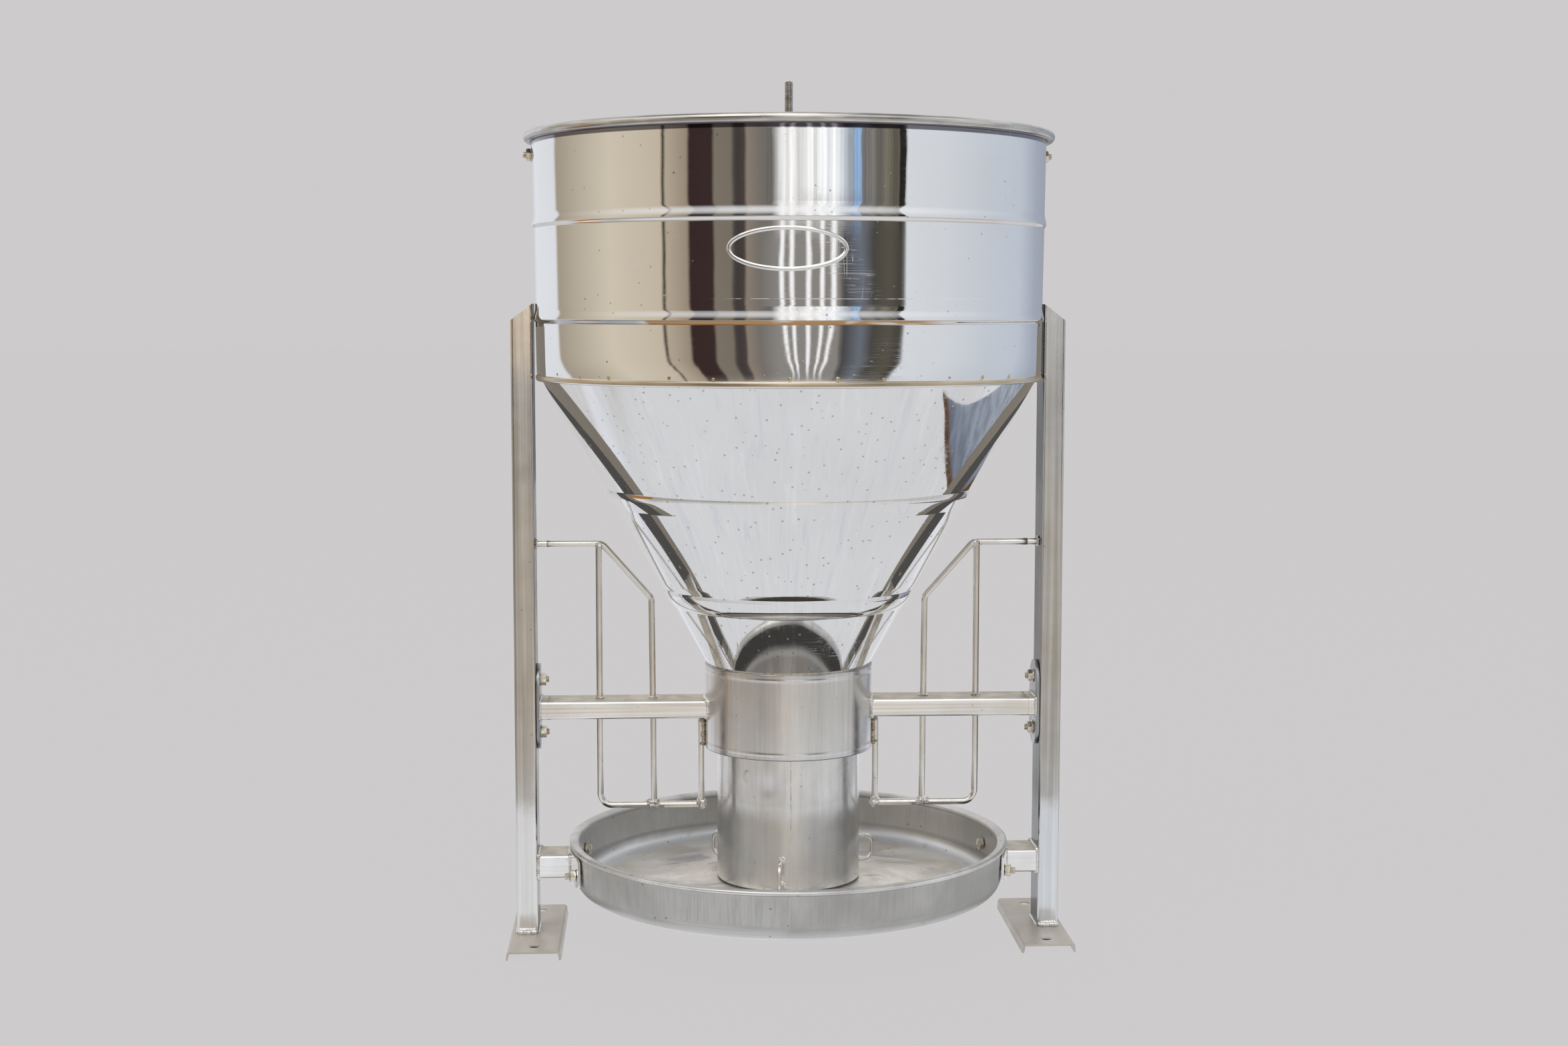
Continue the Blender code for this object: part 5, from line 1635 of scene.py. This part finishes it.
# ---------------------------------------------------------------- collar, beams, plates
COLLAR_OUT = 0.1002


def make_collar():
    low, high = 0.2324, 0.3343
    line = [(0.0973, high + 0.0000), (0.0978, high), (0.0988, high - 0.0001), (0.0996, high - 0.0006), (0.1001, high - 0.0014)]
    for z, out in ((high - 0.0019, 0.0), (high - 0.0026, 0.0), (high - 0.0045, 0.0), (high - 0.0066, 0.0), (high - 0.0072, 0.00018), (high - 0.0078, 0.0)):
        line.append((COLLAR_OUT + out, z))
    z = high - 0.0115
    while z > low + 0.0100:
        line.append((COLLAR_OUT, z))
        z -= 0.0040
    for z, out in ((low + 0.0078, 0.0), (low + 0.0072, 0.00018), (low + 0.0066, 0.0), (low + 0.0040, 0.0), (low + 0.0022, 0.0), (low + 0.0015, 0.0), (low + 0.0010, 0.0)):
        line.append((COLLAR_OUT + out, z))
    line += [(COLLAR_OUT - 0.0003, low + 0.0002), (COLLAR_OUT - 0.0012, low + 0.0002)]
    inner = [(0.0987, low + 0.0010), (0.0987, 0.260), (0.0987, 0.300), (0.0987, high - 0.0022), (0.0973, high - 0.0012)]

    def wave(a, r, z):
        p = Vector((math.cos(a) * 2.0, math.sin(a) * 2.0, z * 8.0))
        return r + noise.noise(p * 1.6) * 0.00018, z

    verts, faces = lathe(line + inner, sides=256, shape=wave)
    piece("collar_wall", verts, faces, COLLAR_STEEL, FRAME, ("collar_ring",), sharp=50)

    # the dark, patchy weld where the cone stands in the collar
    ring = [(0.0978 * math.cos(TAU * k / 300), 0.0978 * math.sin(TAU * k / 300), high + 0.0002) for k in range(300)]
    verts, faces = bead(ring, 0.0011, 3.0, closed=True, ripple=0.0026, sides=8)
    piece("cone_joint_weld", verts, faces, CRUST, FRAME)
    # the collar's upright seam, at the rear
    a = math.radians(96)
    seam = [(COLLAR_OUT * math.cos(a), COLLAR_OUT * math.sin(a), low + 0.002), (COLLAR_OUT * math.cos(a), COLLAR_OUT * math.sin(a), high - 0.002)]
    verts, faces = bead(seam, 0.0012, 5.0, ripple=0.0020, sides=8)
    piece("collar_seam_weld", verts, faces, WELD, FRAME)


def along_x(across):
    """Takes a shape made along Z, with its section's x as height and y as depth, to lie along X."""
    if across > 0:
        return Matrix(((0, 0, 1, 0), (0, 1, 0, 0), (-1, 0, 0, 0), (0, 0, 0, 1)))
    return Matrix(((0, 0, -1, 0), (0, -1, 0, 0), (-1, 0, 0, 0), (0, 0, 0, 1)))


def make_beams():
    low, high = 0.2700, 0.2915
    mid = (low + high) / 2
    for side, across in SIDES:
        v, f = box_tube(
            high - low, 0.0490, 0.0030, 0.0015,
            lambda x, y: math.sqrt(0.1004 ** 2 - y * y), lambda x, y: 0.2966, crown=0.00022,
        )
        b = Build().add(v, f, Matrix.Translation((0, 0, mid)) @ along_x(across))
        piece("beam_tube_" + side, b.verts, b.faces, BEAM_STEEL, FRAME, ("beam_" + side,), sharp=50)

        # end plate: an oblong with eased edges and two holes
        rise = 0.0265
        oblong = arc((rise, 0), 0.0250, -90, 90, 28) + arc((-rise, 0), 0.0250, 90, 270, 28)
        holes = [circle(0.0043, 32, (0.2828 - z, 0.0)) for z in (0.2515, 0.3150)]
        v, f = flat_outline([oblong] + holes, 0.0040, 0.0005)
        b = Build().add(v, f, Matrix.Translation((across * 0.2989, 0, 0.2828)) @ along_x(across))
        piece("end_plate_oblong_" + side, b.verts, b.faces, PLATE_STEEL, FRAME, ("end_plate_" + side,))

        welds = Build()
        # round the beam where it meets the plate
        loop = [(across * 0.2963, y, mid + z) for z, y in section(high - low + 0.0014, 0.0504, 0.0036)]
        welds.add(*bead(loop, 0.0016, 2.0 + across, closed=True))
        # round the beam where it meets the collar
        loop = []
        for z, y in section(high - low + 0.0012, 0.0502, 0.0034):
            loop.append((across * (math.sqrt(0.1003 ** 2 - y * y) + 0.0004), y, mid + z))
        welds.add(*bead(loop, 0.0021, 4.0 + across, closed=True, ripple=0.0024))
        for k, (y, z) in enumerate(((-0.0236, high - 0.001), (-0.0240, low + 0.001), (0.0236, high - 0.001), (0.0240, low + 0.001))):
            x = across * (math.sqrt(0.1003 ** 2 - y * y) + 0.0008)
            welds.add(*blob((x, y, z), (0.0030, 0.0026, 0.0030), 11 + k + across))
        piece("beam_welds_" + side, welds.verts, welds.faces, WELD, FRAME)


def make_plate_bolts():
    for side, across in SIDES:
        for level, z in (("lower", 0.2515), ("upper", 0.3150)):
            b = Build()
            b.add(*thread(0.0040, 0.00125, 0.0, 0.0142), move=place_x(across * 0.3009, z, -across))
            piece(f"plate_stud_thread_{side}_{level}", b.verts, b.faces, ZINC, FRAME, (f"plate_stud_{side}_{level}",))
            v, f = hex_nut(0.0130, 0.0068, 0.0043, turn=0.35 if level == "upper" else 0.1, flange=(0.0083, 0.0010))
            b = Build().add(v, f, place_x(across * 0.2966, z, -across))
            piece(f"plate_nut_hex_{side}_{level}", b.verts, b.faces, ZINC, FRAME, (f"plate_nut_{side}_{level}",))


make_collar()
make_beams()
make_plate_bolts()


# ---------------------------------------------------------------- legs and feet
def boolean_mesh(base, cutters):
    """Runs the cuts on a mesh object and hands back its vertices and faces."""
    for cutter, operation in cutters:
        step = base.modifiers.new("cut", "BOOLEAN")
        step.operation = operation
        step.solver = "EXACT"
        step.object = cutter
    bpy.context.view_layer.update()
    graph = bpy.context.evaluated_depsgraph_get()
    mesh = bpy.data.meshes.new_from_object(base.evaluated_get(graph))
    verts = [tuple(base.matrix_world @ v.co) for v in mesh.vertices]
    faces = [tuple(p.vertices) for p in mesh.polygons]
    for gone in [base] + [c for c, _ in cutters]:
        data = gone.data
        bpy.data.objects.remove(gone, do_unlink=True)
        bpy.data.meshes.remove(data)
    return verts, faces


def loose(verts, faces, name="loose"):
    mesh = bpy.data.meshes.new(name)
    mesh.from_pydata([tuple(v) for v in verts], [], faces)
    shape = bmesh.new()
    shape.from_mesh(mesh)
    bmesh.ops.remove_doubles(shape, verts=shape.verts, dist=1e-7)
    bmesh.ops.recalc_face_normals(shape, faces=shape.faces)
    shape.to_mesh(mesh)
    shape.free()
    made = bpy.data.objects.new(name, mesh)
    scene.collection.objects.link(made)
    return made


def prism(loop, low, high):
    count = len(loop)
    verts = [(x, y, low) for x, y in loop] + [(x, y, high) for x, y in loop]
    faces = [tuple(range(count))[::-1], tuple(range(count, 2 * count))]
    for k in range(count):
        n = (k + 1) % count
        faces.append((k, n, count + n, count + k))
    return verts, faces


def make_legs():
    for side, across in SIDES:
        def top(x, y):
            # the mitred end: high on the side of the drum, low outside
            return 0.7620 - (0.7620 - 0.7425) * (x + 0.0127) / 0.0254 if across > 0 else 0.7620 - (0.7620 - 0.7425) * (0.0127 - x) / 0.0254

        v, f = box_tube(0.0254, 0.0508, 0.0030, 0.0015, lambda x, y: 0.0113, top, crown=0.00030)
        b = Build().add(v, f, Matrix.Translation((across * 0.3139, 0, 0)))
        piece("leg_tube_" + side, b.verts, b.faces, LEG_STEEL, FRAME, ("leg_" + side,), sharp=50)

        # folded channel foot
        half_top, half_floor, high, sheet = 0.0305, 0.03225, 0.0110, 0.0023
        fold = bent([(half_floor, 0, 0), (half_top, high, 0), (-half_top, high, 0), (-half_floor, 0, 0)], 0.0038, 8)
        skin = [(p.x, p.y) for p in fold]
        inside = offset_line(skin[::-1], sheet)
        inside[0] = (inside[0][0], 0.0)
        inside[-1] = (inside[-1][0], 0.0)
        v, f = prism(skin + inside, -0.102, 0.102)
        channel = loose([(x, z, y) for x, y, z in v], [g[::-1] for g in f], "channel")
        channel.location = (across * 0.3030, 0, 0)
        plan = []
        x, y = 0.0649 / 2 - 0.008, 0.2038 / 2 - 0.008
        for cx, cy, start in ((x, y, 0), (-x, y, 90), (-x, -y, 180), (x, -y, 270)):
            plan += arc((cx, cy), 0.008, start, start + 90, 8)
        v, f = prism(plan, -0.02, 0.03)
        cutter = loose([(x + across * 0.3030, y, z) for x, y, z in v], f, "plan")
        cuts = [(cutter, "INTERSECT")]
        for end in (-1, 1):
            v, f = prism(circle(0.00675, 48, (across * 0.3030, end * 0.0780)), -0.02, 0.03)
            cuts.append((loose(v, f, "hole"), "DIFFERENCE"))
        verts, faces = boolean_mesh(channel, cuts)
        piece("foot_channel_" + side, verts, faces, FOOT_STEEL, FRAME, ("foot_" + side,), sharp=38)

        welds = Build()
        # heavy bright bead in front and behind, a thin one along the sides
        for way in (-1, 1):
            row = [(across * 0.3139 + x, way * 0.0262, 0.0130) for x in (-0.0118, -0.004, 0.004, 0.0118)]
            welds.add(*bead(row, 0.0032, 6.0 + way + across, ripple=0.0026, sides=14))
            row = [(across * 0.3139 + x, way * 0.0257, 0.0160) for x in (-0.0108, 0.0, 0.0108)]
            welds.add(*bead(row, 0.0021, 9.0 + way + across, ripple=0.0030, sides=12))
            row = [(across * 0.3139 + way * 0.0132, y, 0.0118) for y in (-0.0235, 0.0, 0.0235)]
            welds.add(*bead(row, 0.0015, 12.0 + way + across))
        piece("foot_welds_" + side, welds.verts, welds.faces, WELD_CLEAN, FRAME)


make_legs()


# ---------------------------------------------------------------- trough
TRAY_BOTTOM, TRAY_SHEET = 0.0615, 0.0030
TRAY_CORNER, TRAY_FILLET = 0.0200, 0.0170
TRAY_RISE, TRAY_RISE_R = 0.0075, (0.1050, 0.2000)


def tray_lift(r):
    """How far the floor stands above the ring at the foot of the wall."""
    near, far = TRAY_RISE_R
    share = min(max((far - r) / (far - near), 0.0), 1.0)
    return TRAY_RISE * share * share * (3.0 - 2.0 * share)


def make_tray():
    inner_r = 0.2577 - TRAY_SHEET - TRAY_FILLET
    inside = [(0.0, TRAY_BOTTOM + TRAY_SHEET + TRAY_RISE)]
    r = 0.006
    while r < inner_r - 0.004:
        inside.append((r, TRAY_BOTTOM + TRAY_SHEET + tray_lift(r)))
        r += 0.006
    inside += arc((inner_r, TRAY_BOTTOM + TRAY_SHEET + TRAY_FILLET), TRAY_FILLET, -90, 0, 14)
    inside += [(0.2550, 0.0870), (0.2554, 0.0930), (0.2558, 0.1000), (0.2562, 0.1070), (0.2564, 0.1128), (0.2560, 0.1140)]
    rim = [
        (0.2549, 0.1149), (0.2537, 0.1157), (0.2527, 0.1166), (0.2522, 0.1177), (0.2521, 0.1189), (0.2525, 0.1201), (0.2533, 0.1211),
        (0.2545, 0.1219), (0.2560, 0.1224), (0.2577, 0.1226), (0.2596, 0.1225), (0.2613, 0.1222), (0.2627, 0.1216), (0.2636, 0.1208), (0.2639, 0.1199),
        (0.2640, 0.1190), (0.2637, 0.1181), (0.2631, 0.1174), (0.2622, 0.1169), (0.2610, 0.1166), (0.2601, 0.1162),
    ]
    wall = [(0.25955, 0.1154), (0.2594, 0.1120)]
    z = 0.1080
    foot = TRAY_BOTTOM + TRAY_CORNER
    while z > foot + 0.0015:
        wall.append((0.2577 + (0.2595 - 0.2577) * (z - foot) / (0.1160 - foot), z))
        z -= 0.0040
    corner = arc((0.2577 - TRAY_CORNER, foot), TRAY_CORNER, 0, -90, 16)
    under = []
    r = 0.2577 - TRAY_CORNER - 0.006
    while r > 0.01:
        under.append((r, TRAY_BOTTOM + tray_lift(r)))
        r -= 0.008
    under.append((0.0, TRAY_BOTTOM + TRAY_RISE))

    def wave(a, r, z):
        p = Vector((math.cos(a) * 2.2, math.sin(a) * 2.2, z * 9.0))
        dr = noise.noise(p * 1.9) * 0.00045 if r > 0.20 else 0.0
        dz = noise.noise(Vector((math.cos(a) * r * 16, math.sin(a) * r * 16, 0.3))) * 0.00035 if r < 0.235 else 0.0
        return r + dr * 0.6, z + dz

    verts, faces = lathe(inside + rim + wall + corner + under, sides=320, closed=False, shape=wave)
    piece("tray_spun", verts, faces, ALUMINIUM, FRAME, ("feed_tray",), sharp=60)


def make_tray_mounts():
    low, high = 0.0780, 0.1055
    mid = (low + high) / 2
    for side, across in SIDES:
        v, f = box_tube(
            high - low, 0.0508, 0.0030, 0.0015,
            lambda x, y: math.sqrt(0.2637 ** 2 - y * y), lambda x, y: 0.3009, step=0.004, crown=0.0002,
        )
        b = Build().add(v, f, Matrix.Translation((0, 0, mid)) @ along_x(across))
        piece("stub_tube_" + side, b.verts, b.faces, STUB_STEEL, FRAME, ("stub_" + side,), sharp=50)

        # curved plate with clipped lower corners
        verts, faces = [], []
        across_steps, rings = 60, []
        top, bottom = 0.1135, 0.0780
        for r in (0.2604, 0.2634):
            for j in range(7):
                row = []
                for i in range(across_steps + 1):
                    u = -1 + 2 * i / across_steps
                    a = math.radians(17.5 * u)
                    clip = 0.0
                    edge = (abs(u) - 0.86) / 0.14
                    if edge > 0:
                        clip = 0.0035 * edge * edge
                    z = bottom + clip + (top - clip - bottom - clip) * j / 6
                    turn = 0.0 if across > 0 else math.pi
                    row.append(len(verts))
                    verts.append((r * math.cos(a + turn), r * math.sin(a + turn), z))
                rings.append(row)
        inner_rows, outer_rows = rings[:7], rings[7:]
        for rows in (inner_rows, outer_rows):
            for low_row, high_row in zip(rows, rows[1:]):
                for i in range(across_steps):
                    faces.append((low_row[i], low_row[i + 1], high_row[i + 1], high_row[i]))
        for j in (0, 6):
            for i in range(across_steps):
                faces.append((inner_rows[j][i], inner_rows[j][i + 1], outer_rows[j][i + 1], outer_rows[j][i]))
        for i in (0, across_steps):
            for j in range(6):
                faces.append((inner_rows[j][i], inner_rows[j + 1][i], outer_rows[j + 1][i], outer_rows[j][i]))
        piece("tray_bracket_plate_" + side, verts, faces, STUB_STEEL, FRAME, ("tray_bracket_" + side,), sharp=40)

        welds = Build()
        loop = [(across * 0.3004, y, mid + z) for z, y in section(high - low + 0.0012, 0.0500, 0.0036)]
        welds.add(*bead(loop, 0.0019, 21.0 + across, closed=True, ripple=0.0024))
        for k, (y, z) in enumerate(((-0.0240, high), (-0.0240, low), (0.0240, high), (0.0240, low))):
            welds.add(*blob((across * 0.2996, y, mid + (z - mid) * 0.98), (0.0024, 0.0026, 0.0026), 31 + k + across))
        loop = []
        for z, y in section(high - low + 0.0010, 0.0516, 0.0034):
            loop.append((across * (math.sqrt(0.2637 ** 2 - y * y) + 0.0006), y, mid + z))
        welds.add(*bead(loop, 0.0016, 24.0 + across, closed=True))
        piece("stub_welds_" + side, welds.verts, welds.faces, WELD, FRAME)

        for place, way in (("front", -1), ("rear", 1)):
            turn = 0.0 if across > 0 else math.pi
            a = turn + way * across * math.radians(14.75)
            near, far = 0.2541, 0.2755
            b = Build()
            b.add(*hex_head(0.0130, 0.0053), move=place_radial(a, near, 0.0920, outwards=False))
            b.add(*thread(0.0040, 0.00125, 0.0, far - near), move=place_radial(a, near, 0.0920))
            piece(f"tray_bolt_thread_{side}_{place}", b.verts, b.faces, ZINC, FRAME, (f"tray_bolt_{side}_{place}",))
            v, f = hex_nut(0.0130, 0.0065, 0.0043, turn=0.3 + way * 0.2)
            b = Build().add(v, f, place_radial(a, 0.2637, 0.0920))
            piece(f"tray_nut_hex_{side}_{place}", b.verts, b.faces, ZINC, FRAME, (f"tray_nut_{side}_{place}",))


STUB_STEEL = satin("frame_steel_stub", (5, 260, 260), rough=(0.12, 0.26), base=(0.90, 0.895, 0.885), up_tint=(0.70, 0.64, 0.55),
                   tints=(((0.300, 0.0, 0.106), 0.030, STRAW),))

make_tray()
make_tray_mounts()


# ---------------------------------------------------------------- drop tube and its loops
def tube_r(z):
    return 0.0850 + (0.0860 - 0.0850) * (0.2780 - z) / (0.2780 - 0.0745)


def make_drop_tube():
    line = [(0.0844, 0.2780), (0.0849, 0.2778)]
    z = 0.2760
    while z > 0.0760:
        line.append((tube_r(z), z))
        z -= 0.0040
    line += [(tube_r(0.0751), 0.0751), (0.0857, 0.0746), (0.0852, 0.0745), (0.0848, 0.0748)]
    inner = [(tube_r(z) - 0.0012, z) for z in (0.076, 0.120, 0.160, 0.200, 0.240, 0.270, 0.2775)]

    def wave(a, r, z):
        p = Vector((math.cos(a) * 1.6, math.sin(a) * 1.6, z * 9.0))
        d = noise.noise(p * 1.5) * 0.00035 + noise.noise(p * 4.5) * 0.00010
        fade = 0.0 if z > 0.268 else 1.0
        # a few shallow dents
        for da, dz, deep, wide in ((-1.92, 0.196, 0.0007, 0.010), (-1.32, 0.150, 0.0005, 0.014), (-0.9, 0.100, 0.0006, 0.012)):
            away = math.hypot(((a - TAU if a > math.pi else a) - da) * 0.085, z - dz)
            d -= deep * math.exp(-(away / wide) ** 2)
        return r + d * fade, z

    verts, faces = lathe(line + inner, sides=256, shape=wave)
    piece("drop_tube_wall", verts, faces, TUBE_STEEL, TUBE, ("drop_tube",), sharp=50)

    # the tube's upright seam, and a hooked bit of weld near its top
    marks = Build()
    a = math.radians(-91.2)
    r = tube_r(0.17) - 0.0006
    seam = [(r * math.cos(a), r * math.sin(a), z) for z in (0.076, 0.12, 0.17, 0.22, 0.262)]
    marks.add(*bead(seam, 0.0008, 41.0, ripple=0.0016, sides=8))
    hook = []
    for k in range(14):
        t = math.radians(60 + 250 * k / 13)
        turn, z = 0.0044 * math.cos(t), 0.2090 + 0.0060 * math.sin(t)
        a = math.radians(-127.5) + turn / 0.085
        rr = tube_r(z)
        hook.append((rr * math.cos(a), rr * math.sin(a), z))
    marks.add(*bead(hook, 0.0013, 44.0, ripple=0.002, sides=10))
    piece("drop_tube_weld_marks", marks.verts, marks.faces, WELD, TUBE)

    # bridge
    loop = []
    x, y = 0.0822 - 0.004, 0.0125 - 0.004
    for cx, cy, start in ((x, y, 0), (-x, y, 90), (-x, -y, 180), (x, -y, 270)):
        loop += arc((cx, cy), 0.004, start, start + 90, 5)
    v, f = flat_outline([loop, circle(0.0053, 32)], 0.0040, 0.0004)
    b = Build().add(v, f, Matrix.Translation((0, 0, 0.1980)))
    for k in (-1, 1):
        for j in (-1, 1):
            b.add(*bead([(k * 0.0826, -0.009, 0.1980 + j * 0.0022), (k * 0.0834, 0.0, 0.1980 + j * 0.0022), (k * 0.0826, 0.009, 0.1980 + j * 0.0022)], 0.0015, 50 + k + j))
    piece("tube_bridge_flat", b.verts, b.faces, BAR_STEEL, TUBE, ("tube_bridge",))
    for name, z, turn in (("upper", 0.2003, 0.1), ("lower", 0.1877, 0.4)):
        v, f = hex_nut(0.0170, 0.0080, 0.0053, turn=turn)
        b = Build().add(v, f, Matrix.Translation((0, 0, z)))
        piece("bridge_nut_hex_" + name, b.verts, b.faces, ZINC, TUBE, ("bridge_nut_" + name,))


def make_loops():
    start = 0.0867 - 0.0012
    for name, azimuth in (("front", -98.5), ("right", 21.5), ("rear", 141.5)):
        path = bent([(start, 0, 0.1110), (0.1135, 0, 0.1110), (0.1135, 0, 0.0810), (start, 0, 0.0810)], 0.0110, 12)
        b = Build()
        move = turn_z(math.radians(azimuth))
        b.add(*rounded_bar(path, 0.0025, 20), move=move)
        piece("push_loop_wire_" + name, b.verts, b.faces, BAR_STEEL, TUBE, ("push_loop_" + name,))
        w = Build()
        for k, z in enumerate((0.1112, 0.0812)):
            w.add(*blob((0.0866, 0.0004, z + 0.0008), (0.0024, 0.0052, 0.0044), 61 + k + azimuth, detail=4, lump=0.4), move=move)
            w.add(*blob((0.0864, 0.0042, z - 0.0016), (0.0016, 0.0026, 0.0022), 65 + k + azimuth, detail=3, lump=0.4), move=move)
        piece("push_loop_welds_" + name, w.verts, w.faces, WELD, TUBE)


make_drop_tube()
make_loops()


# ---------------------------------------------------------------- side guards
def make_gates():
    above, below = 0.2918, 0.2697
    leg_face = 0.3139 - 0.0127 - 0.0003
    for side, across in SIDES:
        def m(points):
            return [(across * p[0], p[1], p[2]) for p in points]

        b = Build()
        path = bent([(leg_face, 0, 0.4780), (0.2225, 0, 0.4780), (0.1640, 0, 0.4120), (0.1630, 0, above)], 0.012, 10)
        b.add(*rounded_bar(m([tuple(p) for p in path]), 0.0040, 28))
        b.add(*rounded_bar(m([(0.2265, 0, above), (0.2265, 0, 0.35), (0.2265, 0, 0.42), (0.2265, 0, 0.4768)]), 0.0040, 28))
        piece("gate_upper_bars_" + side, b.verts, b.faces, BAR_STEEL, FRAME, ("gate_upper_" + side,))

        b = Build()
        path = bent([(0.2265, 0, below), (0.2265, 0, 0.1610), (0.1022, 0, 0.1610)], 0.0150, 14)
        b.add(*rounded_bar(m([tuple(p) for p in path]), 0.0040, 28))
        b.add(*rounded_bar(m([(0.1625, 0, below), (0.1625, 0, 0.23), (0.1625, 0, 0.19), (0.1625, 0, 0.1622)]), 0.0040, 28))
        b.add(*rounded_bar(m([(0.1052, 0, 0.2640), (0.1052, 0, 0.23), (0.1052, 0, 0.19), (0.1052, 0, 0.1622)]), 0.0040, 28))
        piece("gate_lower_bars_" + side, b.verts, b.faces, BAR_STEEL, FRAME, ("gate_lower_" + side,))

        w = Build()
        spots = (
            # x, y, z, size x, y, z
            (0.2265, 0.0, above + 0.0006, 0.0056, 0.0056, 0.0022),
            (0.1630, 0.0, above + 0.0006, 0.0056, 0.0056, 0.0022),
            (0.2265, 0.0, below - 0.0006, 0.0054, 0.0054, 0.0022),
            (0.1625, 0.0, below - 0.0006, 0.0054, 0.0054, 0.0022),
            (0.3004, 0.0, 0.4780, 0.0022, 0.0058, 0.0060),
            (0.2265, -0.0006, 0.4766, 0.0056, 0.0050, 0.0048),
            (0.1625, -0.0012, 0.1636, 0.0080, 0.0056, 0.0056),
            (0.1585, -0.0034, 0.1606, 0.0046, 0.0028, 0.0040),
            (0.1664, -0.0030, 0.1618, 0.0040, 0.0026, 0.0036),
            (0.1052, -0.0010, 0.1626, 0.0060, 0.0054, 0.0066),
            (0.1034, -0.0024, 0.1600, 0.0046, 0.0038, 0.0044),
        )
        for k, (x, y, z, sx, sy, sz) in enumerate(spots):
            w.add(*blob((across * x, y, z), (sx, sy, sz), 71 + 3 * k + across, detail=4, lump=0.34))
            w.add(*blob((across * (x + 0.0012), y + 0.0012, z + 0.0004), (sx * 0.8, sy * 0.9, sz * 0.8), 91 + 3 * k + across, detail=3, lump=0.4))
        piece("gate_welds_" + side, w.verts, w.faces, WELD, FRAME)

        c = Build()
        # the crusty weld that holds the inner bar to the collar's side
        path = [(across * 0.1024, -0.0026, 0.2350), (across * 0.1026, -0.0030, 0.2450), (across * 0.1026, -0.0028, 0.2560), (across * 0.1026, -0.0026, 0.2640)]
        c.add(*bead(path, 0.0028, 101 + across, ripple=0.0040, sides=14))
        c.add(*blob((across * 0.1040, -0.0010, 0.2640), (0.0044, 0.0044, 0.0034), 105 + across, detail=4, lump=0.4))
        c.add(*blob((across * 0.1036, -0.0016, 0.2365), (0.0040, 0.0040, 0.0036), 107 + across, detail=4, lump=0.45))
        path = [(across * 0.1026, 0.0030, 0.2360), (across * 0.1026, 0.0030, 0.2620)]
        c.add(*bead(path, 0.0022, 109 + across, ripple=0.0032))
        piece("gate_collar_weld_" + side, c.verts, c.faces, CRUST, FRAME)


make_gates()
